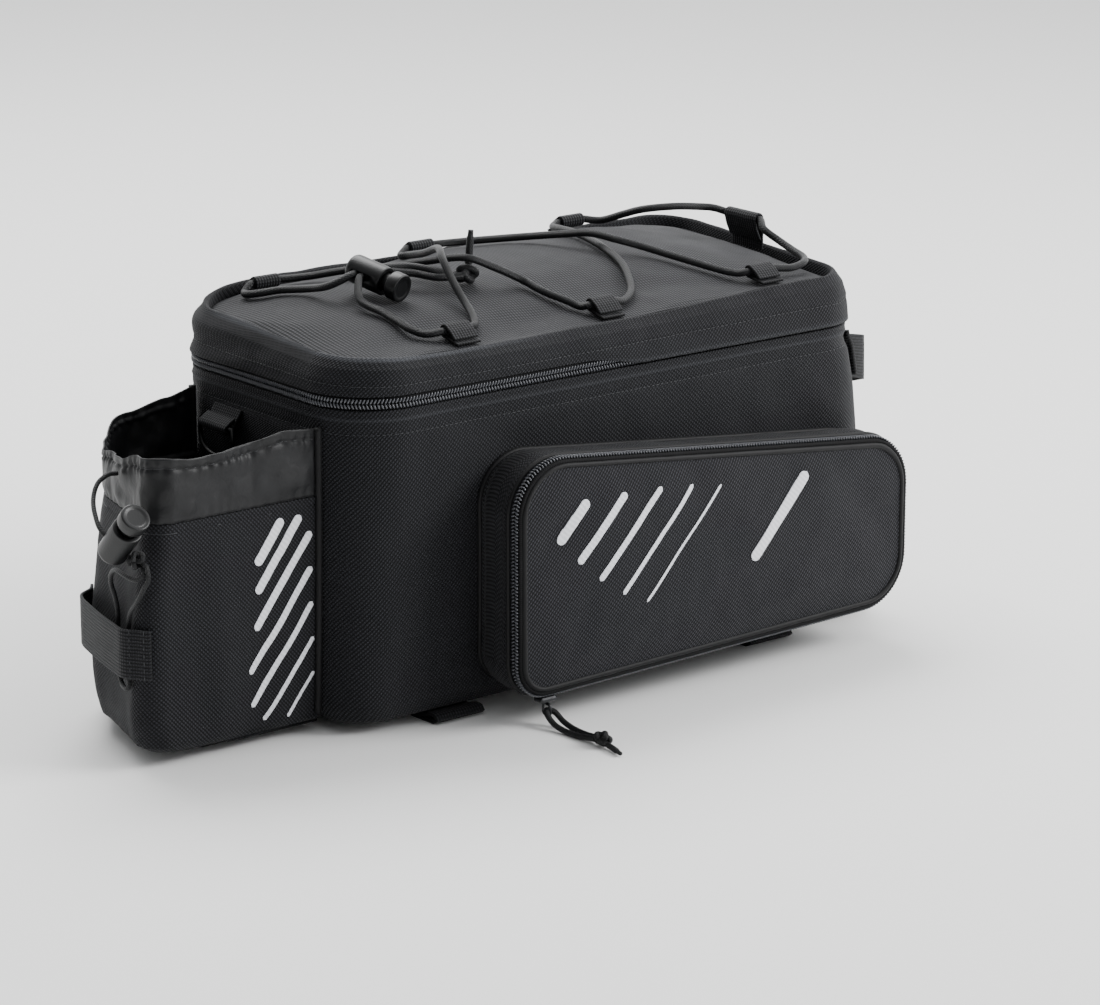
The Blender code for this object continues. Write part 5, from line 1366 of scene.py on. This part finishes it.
spans = np.linspace(-1.0, 1.0, 81)
reach = smooth(read(HANDLE_ROWS, np.abs(spans)))
droop = read(HANDLE_ROWS, np.abs(spans), 2)
handle_rows = []
for offset in np.linspace(-HANDLE_WIDTH / 2, HANDLE_WIDTH / 2, 9):
    z = HANDLE_HEIGHT - droop * HANDLE_DROOP + offset
    seat = body_front(HANDLE_HEIGHT + offset) + GAP + HANDLE_THICKNESS / 2
    x = np.maximum(blend(seat, HANDLE_FRONT - HANDLE_THICKNESS / 2, reach),
                   body_front(z) + GAP + HANDLE_THICKNESS / 2)
    handle_rows.append(np.column_stack((x, spans * HANDLE_HALF_SPAN, BASE + z)))
skin("front_handle_webbing", np.array(handle_rows).transpose(1, 0, 2), webbing,
     wall=HANDLE_THICKNESS, offset=0.0, out=(1.0, 0.0, 0.0), replaces=("front_handle",))

upper = BASE - GAP - STRAP_THICKNESS / 2
lower = STRAP_THICKNESS / 2
for name, x in STRAPS:
    turn = frame_at((x, 0.0, 0.0), (0, 1, 0), (0, 0, 1))
    fold = -STRAP_HALF_REACH
    near = ((fold + 0.018, upper), (fold + 0.004, upper), (fold - STRAP_FOLD * 0.24, upper + 0.0021),
            (fold - STRAP_FOLD * 0.75, upper + 0.0020), (fold - STRAP_FOLD, upper + 0.0001),
            (fold - STRAP_FOLD * 0.65, lower + 0.0002), (fold + 0.002, lower), (STRAP_LAP, lower))
    far = ((STRAP_HALF_REACH, upper), (fold + 0.021, upper))
    for end, path, count in (("near", near, 120), ("far", far, 40)):
        ribbon(f"{name}_{end}_strap_webbing", path, STRAP_WIDTH, turn, STRAP_WALL,
               replaces=(f"{name}_strap_{end}",), count=count)

tab_x = float(body_rear(RING_TAB_Y, RING_TAB_HEIGHT)) + WEBBING_THICKNESS
tab_turn = frame_at((tab_x, RING_TAB_Y, BASE + RING_TAB_HEIGHT), (-0.55, 0.0, -0.84), (-0.84, 0.0, 0.55))
path, eye = loop_profile(RING_TAB_REACH, RING_WIRE / 2, 2 * LOOP_FOOT)
ribbon("rear_ring_tab_webbing", path, RING_TAB_WIDTH, tab_turn, replaces=("rear_ring_tab",), count=46)
ring_middle = tab_turn @ Vector((*eye, 0.0))
ring_half = RING_TAB_WIDTH / 2 + RING_WIRE
outline = [(-ring_half, 0.0), (ring_half, 0.0), (ring_half, -RING_DROP * 0.4)]
outline += [(ring_half * math.cos(a), -RING_DROP * (0.4 + 0.6 * math.sin(a)))
            for a in np.linspace(math.pi / 24, math.pi * 23 / 24, 23)]
outline.append((-ring_half, -RING_DROP * 0.4))

# Moulded black plastic with a fine satin grain: the rear ring and the cord locks
plastic, plastic_tree, plastic_shader = finish("moulded_plastic", "#08090a", 0.36, specular=0.38)
grain(plastic_tree, plastic_shader, 1100.0, 3.0, 0.00012, 0.5)
ring_line = [(ring_middle.x, ring_middle.y + y, ring_middle.z + z) for y, z in outline]
sweep("rear_ring_wire", ring_line, RING_WIRE / 2, plastic, closed=True, sides=14,
      replaces=("rear_ring",))


# Cord locks: moulded barrels with a cross hole for two runs of cord. Their round buttons are pushed
# in against a spring, and have a shallow dish.
LOCK_DIAMETER = 0.0150
LOCK_LENGTH = 0.0225
LOCK_ROUND = 0.0030
LOCK_CLEARANCE = 0.0003
LOCK_BORE_DEPTH = 0.0065
LOCK_EDGE = 0.0006
BUTTON_DIAMETER = 0.0148
BUTTON_THICKNESS = 0.0065
BUTTON_DISH = 0.0005
BUTTON_STEM = 0.0096
BUTTON_TRAVEL = 0.0040
LOCK_HOLE_PLACE = 0.0095
LANE_GAP = 0.0006
DRAW_DIAMETER = 0.0024
BUNGEE_LOCK_SPOT = (-0.1001, 0.0129)
BUNGEE_LOCK_LIFT = 0.01319
BUNGEE_LOCK_AXIS = (0.255, -0.935, -0.220)
BUNGEE_LOCK_HOLE = (0.965, 0.263, 0.0)
BOTTLE_LOCK_PLACE = (-0.2835, -0.0415, 0.1085)
BOTTLE_LOCK_AXIS = (0.00, -0.70, 0.71)
BOTTLE_LOCK_HOLE = (-0.45, 0.62, 0.64)
TURN_SIDES = 64
CAP_EDGE = 0.0009


def lock_frame(place, axis, hole):
    """Frame of a cord lock: Z along the barrel to the button, X along the hole for the cord."""
    z = Vector(axis).normalized()
    x = Vector(hole)
    x = (x - z * x.dot(z)).normalized()
    made = Matrix((x, z.cross(x), z)).transposed().to_4x4()
    made.translation = Vector(place)
    return made


def turned(name, profile, turn, body, node):
    """Turned plastic piece about the frame's Z from rows of radius and height, ending on its axis."""
    angles = np.linspace(0.0, 2 * math.pi, TURN_SIDES, endpoint=False)
    grid = np.array([[turn @ Vector((radius * math.cos(a), radius * math.sin(a), height)) for a in angles]
                     for radius, height in profile])
    middle = np.array(turn @ Vector((0.0, 0.0, (profile[0][1] + profile[-1][1]) / 2)))
    made = skin(name, grid, plastic, closed=True, out=grid - middle, body=body,
                replaces=(node,))
    made.data.set_sharp_from_angle(angle=math.radians(40.0))
    return made


def softened(profile, radius, steps=4):
    """Profile with its inner corners rounded by a small radius where they have room."""
    made = [profile[0]]
    for before, here, after in zip(profile, profile[1:], profile[2:]):
        before, here, after = (np.array(p, float) for p in (before, here, after))
        reach = min(radius, np.linalg.norm(before - here) / 2.2, np.linalg.norm(after - here) / 2.2)
        start = here + (before - here) / np.linalg.norm(before - here) * reach
        end = here + (after - here) / np.linalg.norm(after - here) * reach
        for t in np.linspace(0.0, 1.0, steps):
            made.append(tuple((1 - t) ** 2 * start + 2 * t * (1 - t) * here + t ** 2 * end))
    made.append(profile[-1])
    return made


def cord_lock(prefix, turn, diameter):
    """Barrel with its cross hole cut through, and the button over its end."""
    radius = LOCK_DIAMETER / 2
    bore = BUTTON_STEM / 2 + LOCK_CLEARANCE
    inner = LOCK_LENGTH - LOCK_BORE_DEPTH
    profile = [(0.0, inner), (bore, inner), (bore, LOCK_LENGTH), (radius, LOCK_LENGTH)]
    profile += arc_points((radius - LOCK_ROUND, LOCK_ROUND), LOCK_ROUND, 0, -90, 8)
    profile.append((0.0, 0.0))
    barrel = turned(prefix + "_lock_body", softened(profile, LOCK_EDGE), turn, "bag",
                    prefix + "_lock_barrel")
    half = (diameter + LANE_GAP) / 2
    width = diameter / 2 + LOCK_CLEARANCE
    hole = arc_points((0.0, LOCK_HOLE_PLACE + half), width, 0, 180, 14)
    hole += arc_points((0.0, LOCK_HOLE_PLACE - half), width, 180, 360, 14)
    shape = bmesh.new()
    face = shape.faces.new([shape.verts.new((-LOCK_DIAMETER, y, z)) for y, z in hole])
    moved = bmesh.ops.extrude_face_region(shape, geom=[face])
    corners = [v for v in moved["geom"] if isinstance(v, bmesh.types.BMVert)]
    bmesh.ops.translate(shape, verts=corners, vec=(2 * LOCK_DIAMETER, 0.0, 0.0))
    bmesh.ops.recalc_face_normals(shape, faces=shape.faces)
    bmesh.ops.transform(shape, matrix=Matrix.Translation((MIDDLE, 0.0, 0.0)) @ turn, verts=shape.verts)
    mesh = bpy.data.meshes.new(prefix + "_lock_cutter")
    shape.to_mesh(mesh)
    shape.free()
    cutter = bpy.data.objects.new(prefix + "_lock_cutter", mesh)
    bpy.context.scene.collection.objects.link(cutter)
    cut = barrel.modifiers.new("cord_hole", "BOOLEAN")
    cut.object = cutter
    cut.operation = "DIFFERENCE"
    cut.solver = "EXACT"
    bpy.context.view_layer.update()
    whole = bpy.data.meshes.new_from_object(barrel.evaluated_get(bpy.context.evaluated_depsgraph_get()))
    barrel.modifiers.remove(cut)
    barrel.data = whole
    bpy.data.objects.remove(cutter, do_unlink=True)
    head = BUTTON_DIAMETER / 2
    stem = BUTTON_STEM / 2
    foot = inner + BUTTON_TRAVEL + LOCK_CLEARANCE
    neck = LOCK_LENGTH + BUTTON_TRAVEL + LOCK_CLEARANCE
    top = neck + BUTTON_THICKNESS
    profile = [(0.0, top - BUTTON_DISH), (head * 0.62, top - BUTTON_DISH), (head * 0.78, top),
               (head, top), (head, neck), (stem, neck), (stem, foot), (0.0, foot)]
    button = turned(prefix + "_lock_cap", softened(profile, CAP_EDGE), turn, prefix + "_button",
                    prefix + "_lock_button")
    return barrel, button


lock_x, lock_y = BUNGEE_LOCK_SPOT
bungee_lock = lock_frame(lid_place(lock_x, lock_y) + Vector((0.0, 0.0, BUNGEE_LOCK_LIFT)),
                         BUNGEE_LOCK_AXIS, BUNGEE_LOCK_HOLE)
bottle_lock = lock_frame(BOTTLE_LOCK_PLACE, BOTTLE_LOCK_AXIS, BOTTLE_LOCK_HOLE)
cord_lock("bungee", bungee_lock, BUNGEE_DIAMETER)
bottle_barrel, bottle_button = cord_lock("bottle", bottle_lock, DRAW_DIAMETER)


# Bungee cord: one elastic cord in a smooth braided sleeve, laced through the lid's loops and its
# lock, and knotted to itself. The lid holds it all the way, so it is no free cord.
KNOT_RADIUS = 0.0056
KNOT_LENGTH = 0.0110
BUNGEE_END_LENGTH = 0.021
BUNGEE_STRANDS = (
    # along, across, lift
    (((-0.372, -0.050, 2.20), (-0.430, 0.045, 2.60)), "lane_1", -1),
    (((-0.690, 0.120, 1.90), (-0.700, 0.330, 0.90), (-0.735, 0.500, 0.68), (-0.778, 0.585, 0.68),
      (-0.800, 0.665, 0.68), (-0.790, 0.728, 0.68)), "far_lid_loop_1", 1),
    (((-0.580, 0.640, 0.80), (-0.501, 0.470, 1.25), (-0.402, 0.266, 1.60), (-0.332, 0.061, 2.60),
      (-0.279, -0.155, 3.80), (-0.198, -0.230, 2.50), (-0.118, -0.300, 0.90),
      (-0.095, -0.460, 0.68), (-0.063, -0.600, 0.68), (-0.045, -0.690, 0.68)),
     "near_lid_loop_2", 1),
    (((0.115, -0.720, 0.68), (0.175, -0.640, 0.68), (0.225, -0.496, 0.68), (0.278, -0.272, 0.70),
      (0.319, 0.062, 0.70), (0.350, 0.352, 0.70), (0.365, 0.560, 0.70), (0.385, 0.690, 0.70)),
     "far_lid_loop_3", 1),
    (((0.580, 0.680, 0.95), (0.615, 0.540, 2.00), (0.650, 0.420, 3.00), (0.740, 0.330, 3.70),
      (0.840, 0.300, 4.00), (0.883, 0.258, 4.20)), "end_lid_loop", -1),
    (((0.900, -0.200, 3.60), (0.918, -0.310, 2.80), (0.920, -0.440, 2.20), (0.900, -0.590, 1.80),
      (0.850, -0.700, 1.40), (0.780, -0.738, 0.95)), "near_lid_loop_3", -1),
    (((0.565, -0.650, 0.70), (0.474, -0.371, 0.88), (0.398, -0.177, 1.38), (0.337, -0.073, 1.95),
      (0.292, 0.072, 2.20), (0.245, 0.249, 1.50), (0.160, 0.462, 0.88), (0.020, 0.690, 0.70)),
     "far_lid_loop_2", -1),
    (((-0.212, 0.705, 0.70), (-0.208, 0.620, 0.80), (-0.225, 0.420, 1.55), (-0.262, 0.200, 3.10),
      (-0.318, 0.000, 4.20), (-0.358, -0.140, 4.00), (-0.375, -0.290, 2.30),
      (-0.385, -0.430, 0.95), (-0.405, -0.560, 0.68), (-0.438, -0.680, 0.68)),
     "near_lid_loop_1", -1),
    (((-0.625, -0.690, 0.68), (-0.648, -0.600, 0.68), (-0.652, -0.480, 0.70),
      (-0.655, -0.344, 0.75), (-0.668, -0.150, 1.20)), "lane_2", 1),
    (((-0.430, -0.015, 2.00), (-0.372, -0.125, 1.65)), "bungee_knot", 1),
)
BUNGEE_KNOT = (-0.268, -0.144, 1.52)


def braid(name, dark, light, pitch, roughness):
    """Braided cord sleeve: two crossed diagonal rows of yarn on the cord's own UV map."""
    made, tree, shader = finish(name, dark, roughness, sheen=0.02, specular=0.30)
    spot = add(tree, "ShaderNodeTexCoord")
    rows = []
    for lean in (38.0, -38.0):
        turned_map = add(tree, "ShaderNodeMapping", {"Vector": spot.outputs["UV"],
                                                     "Rotation": (0.0, 0.0, math.radians(lean))})
        rows.append(add(tree, "ShaderNodeTexWave", {"Vector": turned_map.outputs["Vector"],
                                                    "Scale": WAVE / pitch, "Distortion": 0.4},
                        bands_direction="X"))
    over = add(tree, "ShaderNodeMath", {0: rows[0].outputs["Fac"], 1: rows[1].outputs["Fac"]},
               operation="MAXIMUM")
    two_tones(tree, shader, over.outputs["Value"], dark, light)
    bump(tree, shader, over.outputs["Value"], 0.0003, 0.8)
    return made


def lid_point(along, across, lift):
    """Point over the lid's panel, from shares of its size and a height in cord diameters."""
    return lid_place(along * HALF_LENGTH, across * HALF_WIDTH) + Vector((0.0, 0.0, lift * BUNGEE_DIAMETER))


def wound_knot(name, node, centre, axis, radius, length, cord, material):
    """Knot as a wound length of its own cord, inside the plain shape of its solid."""
    turn = frame_at(centre, axis, (0.0, 0.1, 1.0)) @ Matrix.Rotation(math.pi / 2, 4, "Y")
    reach = radius - cord / 2
    rise = length / 2 - cord / 2
    path = []
    for a in np.linspace(0.0, 2 * math.pi, 120, endpoint=False):
        out = reach * (0.72 + 0.28 * math.cos(3 * a))
        path.append(turn @ Vector((out * math.cos(2 * a), out * math.sin(2 * a), rise * math.sin(3 * a))))
    return sweep(name, path, cord / 2, material, closed=True, sides=14, replaces=(node,))


def cut_end(name, node, foot, lean, count, shares, radii, material, sides):
    """Free end of a cord, which tapers to a sealed tip; shares and radii say where."""
    along = np.linspace(0.0, 1.0, count)
    return sweep(name, [foot + lean * s for s in along], np.interp(along, shares, radii),
                 material, sides=sides, replaces=(node,))


bungee_braid = braid("elastic_cord_sleeve", "#030304", "#18191b", 0.0011, 0.40)
cord_braid = braid("polyester_cord_sleeve", "#030304", "#17181a", 0.0009, 0.48)
lane_way = bungee_lock.to_3x3() @ Vector((1.0, 0.0, 0.0))
lane_half = (BUNGEE_DIAMETER + LANE_GAP) / 2
for name, height in (("lane_1", LOCK_HOLE_PLACE - lane_half), ("lane_2", LOCK_HOLE_PLACE + lane_half)):
    eyes[name] = (bungee_lock @ Vector((0.0, 0.0, height)), lane_way, LOCK_DIAMETER / 2)
knot = lid_point(*BUNGEE_KNOT)
knot_face = knot - Vector((KNOT_LENGTH / 2 - 0.002, 0.0, 0.0))
lane_step = Vector((0.0, (BUNGEE_DIAMETER + GAP) / 2, 0.0))
eyes["bungee_knot"] = (knot_face - lane_step, Vector((1.0, 0.0, 0.0)), 0.0)
before, here = knot_face + lane_step, knot_face + lane_step - Vector((BUNGEE_DIAMETER, 0.0, 0.0))
route = [tuple(before)]
for rows, name, way in BUNGEE_STRANDS:
    middle, along_eye, half = eyes[name]
    along_eye = along_eye * way
    entry = middle - along_eye * (half + BUNGEE_DIAMETER / 4)
    inside = middle - along_eye * half * 0.5
    points = [here] + [lid_point(*row) for row in rows] + [entry]
    route.extend(curve_through(points, before, inside))
    before = middle + along_eye * half * 0.5
    here = middle + along_eye * (half + BUNGEE_DIAMETER / 4)
route.append(tuple(knot_face - lane_step))
sweep("bungee_braided_cord", route, BUNGEE_DIAMETER / 2, bungee_braid, sides=16,
      replaces=("bungee_cord",))
wound_knot("bungee_wound_knot", "bungee_knot", knot, (1.0, 0.0, 0.0), KNOT_RADIUS, KNOT_LENGTH,
           BUNGEE_DIAMETER, bungee_braid)
foot = knot + Vector((BUNGEE_DIAMETER, KNOT_RADIUS - BUNGEE_DIAMETER / 4, 0.0))
lean = Vector((0.1, 0.0, 1.0)).normalized() * (BUNGEE_END_LENGTH + 0.0005)
cut_end("bungee_cut_end", "bungee_end", foot, lean, 24, (0.0, 0.82, 0.86, 1.0),
        (0.00195, 0.00195, 0.0015, 0.0014), bungee_braid, 16)


# Draw cord of the bottle pocket: thin limp braid that comes out of the hem, hangs through its lock
# and is knotted into a loop, whose bight lies behind the light loop's upper edge.
DRAW_EXIT = (-0.2646, -0.0195, 0.141)
DRAW_BENDS = (
    # x, y, z
    (-0.2700, -0.0192, 0.1410),
    (-0.2765, -0.0205, 0.1380),
    (-0.2820, -0.0250, 0.1325),
    (-0.2862, -0.0330, 0.1265),
)
DRAW_LOOP = (
    # y, z, distance off the pocket's wall in cord diameters
    (-0.0588, 0.1002, 2.90),
    (-0.0545, 0.0978, 3.50),
    (-0.0470, 0.0985, 3.60),
    (-0.0390, 0.0992, 3.90),
    (-0.0325, 0.0962, 3.90),
    (-0.0288, 0.0900, 3.30),
    (-0.0280, 0.0820, 1.95),
    (-0.0283, 0.0740, 1.15),
    (-0.0290, 0.0660, 1.05),
    (-0.0300, 0.0560, 1.05),
    (-0.0315, 0.0480, 1.12),
    (-0.0360, 0.0415, 1.50),
    (-0.0430, 0.0405, 1.65),
    (-0.0455, 0.0425, 1.25),
    (-0.0430, 0.0500, 1.00),
    (-0.0420, 0.0600, 1.00),
    (-0.0425, 0.0700, 1.00),
    (-0.0460, 0.0785, 1.45),
    (-0.0535, 0.0860, 2.40),
    (-0.0585, 0.0930, 2.50),
    (-0.0615, 0.0990, 2.25),
)
DRAW_KNOT_RADIUS = 0.0052
DRAW_KNOT_LENGTH = 0.0070


def off_wall(y, z, stand):
    """Point in front of the bottle pocket's outer face, a number of cord diameters off it."""
    path = bottle_outline(z - BASE, 1200)
    reach = np.flatnonzero(path[:, 1] >= max(y, -BOTTLE_HALF * 0.87))[0]
    return Vector((path[reach, 0] - stand * DRAW_DIAMETER, y, z))


def free_cord(name, path, diameter, replaces=()):
    """Limp cord along a path that starts at its exit and ends in its knot."""
    made = sweep(name, path, diameter / 2, cord_braid, sides=14, replaces=replaces)
    return made


draw_along = bottle_lock.to_3x3() @ Vector((1.0, 0.0, 0.0))
draw_axis = bottle_lock.to_3x3() @ Vector((0.0, 0.0, 1.0))
low = LOCK_HOLE_PLACE - (DRAW_DIAMETER + LANE_GAP) / 2
high = LOCK_HOLE_PLACE + (DRAW_DIAMETER + LANE_GAP) / 2
entry = bottle_lock @ Vector((LOCK_DIAMETER / 2 + DRAW_DIAMETER / 2, 0.0, low))
drop = LOCK_DIAMETER / 2 + 2 * GAP + DRAW_KNOT_LENGTH / 2
draw_knot = bottle_lock @ Vector((-drop, 0.0, (low + high) / 2))
top = draw_knot + draw_along * (DRAW_KNOT_LENGTH / 2 + GAP) - draw_axis * (high - low) / 2
into = draw_knot + draw_along * DRAW_KNOT_LENGTH * 0.2 - draw_axis * (high - low) / 2
draw_path = list(curve_through([DRAW_EXIT, *DRAW_BENDS, entry], None, top)) + [tuple(top), tuple(into)]
draw_knot_piece = wound_knot("bottle_wound_knot", "bottle_draw_knot", draw_knot, draw_along,
                             DRAW_KNOT_RADIUS, DRAW_KNOT_LENGTH, DRAW_DIAMETER, cord_braid)
free_cord("bottle_braided_cord", draw_path, DRAW_DIAMETER,
          ("bottle_draw_cord",))
under = draw_knot - draw_along * (DRAW_KNOT_LENGTH / 2 + GAP)
lane = draw_axis * (DRAW_DIAMETER + GAP) / 2
lead = draw_along * DRAW_DIAMETER
bends = [off_wall(*row) for row in DRAW_LOOP]
loop_path = [tuple(under - lane + lead * 0.8)]
loop_path += list(curve_through([under - lane - lead, *bends, under + lane - lead]))
loop_path.append(tuple(under + lane + lead * 0.8))
free_cord("bottle_braided_loop", loop_path, DRAW_DIAMETER, ("bottle_draw_loop",))


# Zip sliders: cast metal under dark paint, with the solids' own shapes. The near pocket's one holds
# a ring with a doubled, knotted cord for a pull, which lies on the floor.
SLIDER_HEIGHT = 0.0028
SLIDER_X = -0.078
PULL_RING = 0.0058
PULL_WIRE = 0.0014
PULL_CORD_DIAMETER = 0.0030
PULL_CORD_REACH = 0.040
PULL_KNOT_RADIUS = 0.0042
PULL_KNOT_LENGTH = 0.0090
PULL_END_LENGTH = 0.014
PULL_STRAND = (
    # reach, spread, rise
    (0.085, 1.55, 0.80),
    (0.240, 1.90, 0.25),
    (0.450, 1.75, 0.00),
    (0.700, 1.40, 0.00),
    (0.900, 1.00, 0.15),
)
enamel, enamel_tree, enamel_shader = finish("painted_slider_metal", "#232427", 0.32, specular=0.6,
                                            metallic=0.4)
grain(enamel_tree, enamel_shader, 500.0, 3.0, 0.0001, 0.5)
for name in ("near_zip_slider", "far_zip_slider", "lid_zip_slider"):
    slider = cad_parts[name]
    slider.data.materials.clear()
    slider.data.materials.append(enamel)
zip_y = ZIP_START + ZIP_WIDTH / 2
under = BASE + POCKET_REAR_BOTTOM - 2 * GAP - SLIDER_HEIGHT / 2
ring_z = under - SLIDER_HEIGHT / 2 - GAP - (PULL_RING + PULL_WIRE) / 2
ring_y = -zip_y - PULL_WIRE
half = PULL_RING / 2
corners = ((-half, -half), (half, -half), (half, half), (-half, half))
ring_path = rounded(corners, [half * 0.6] * 4, steps=8)[:-1]
ring_line = [(SLIDER_X, ring_y + y, ring_z + z) for y, z in ring_path]
sweep("near_pull_ring", ring_line, PULL_WIRE / 2, enamel, closed=True,
      replaces=("near_zip_pull",))
floor_gap = PULL_CORD_DIAMETER / 2 + GAP
lane = (PULL_CORD_DIAMETER + GAP) / 2
knot = Vector((SLIDER_X, ring_y - PULL_CORD_REACH - PULL_KNOT_LENGTH / 2, PULL_KNOT_RADIUS + GAP / 2))
pull_knot = wound_knot("near_pull_wound_knot", "near_pull_knot", knot, (0.0, 1.0, 0.0), PULL_KNOT_RADIUS,
                       PULL_KNOT_LENGTH, PULL_CORD_DIAMETER, cord_braid)
foot = knot - Vector((0.0, PULL_KNOT_LENGTH / 2 - 0.001, knot.z - floor_gap - GAP))
lean = Vector((-0.003, -PULL_END_LENGTH, -GAP))
pull_end = cut_end("near_pull_cut_end", "near_pull_end", foot, lean, 20, (0.0, 0.7, 0.8, 1.0),
                   (0.0015, 0.0015, 0.0011, 0.0010), cord_braid, 14)
for number, side in enumerate((-1, 1), start=1):
    points = [Vector((SLIDER_X, ring_y - GAP, ring_z))]
    for reach, spread, rise in PULL_STRAND:
        points.append(Vector((SLIDER_X + side * spread * lane, ring_y - reach * PULL_CORD_REACH,
                              blend(floor_gap, ring_z, rise))))
    points.append(Vector((SLIDER_X + side * lane, knot.y + PULL_KNOT_LENGTH / 2 - 0.001,
                          blend(floor_gap, knot.z, 0.6))))
    free_cord(f"near_pull_strand_{number}", curve_through(points), PULL_CORD_DIAMETER,
              ("near_pull_cord",))
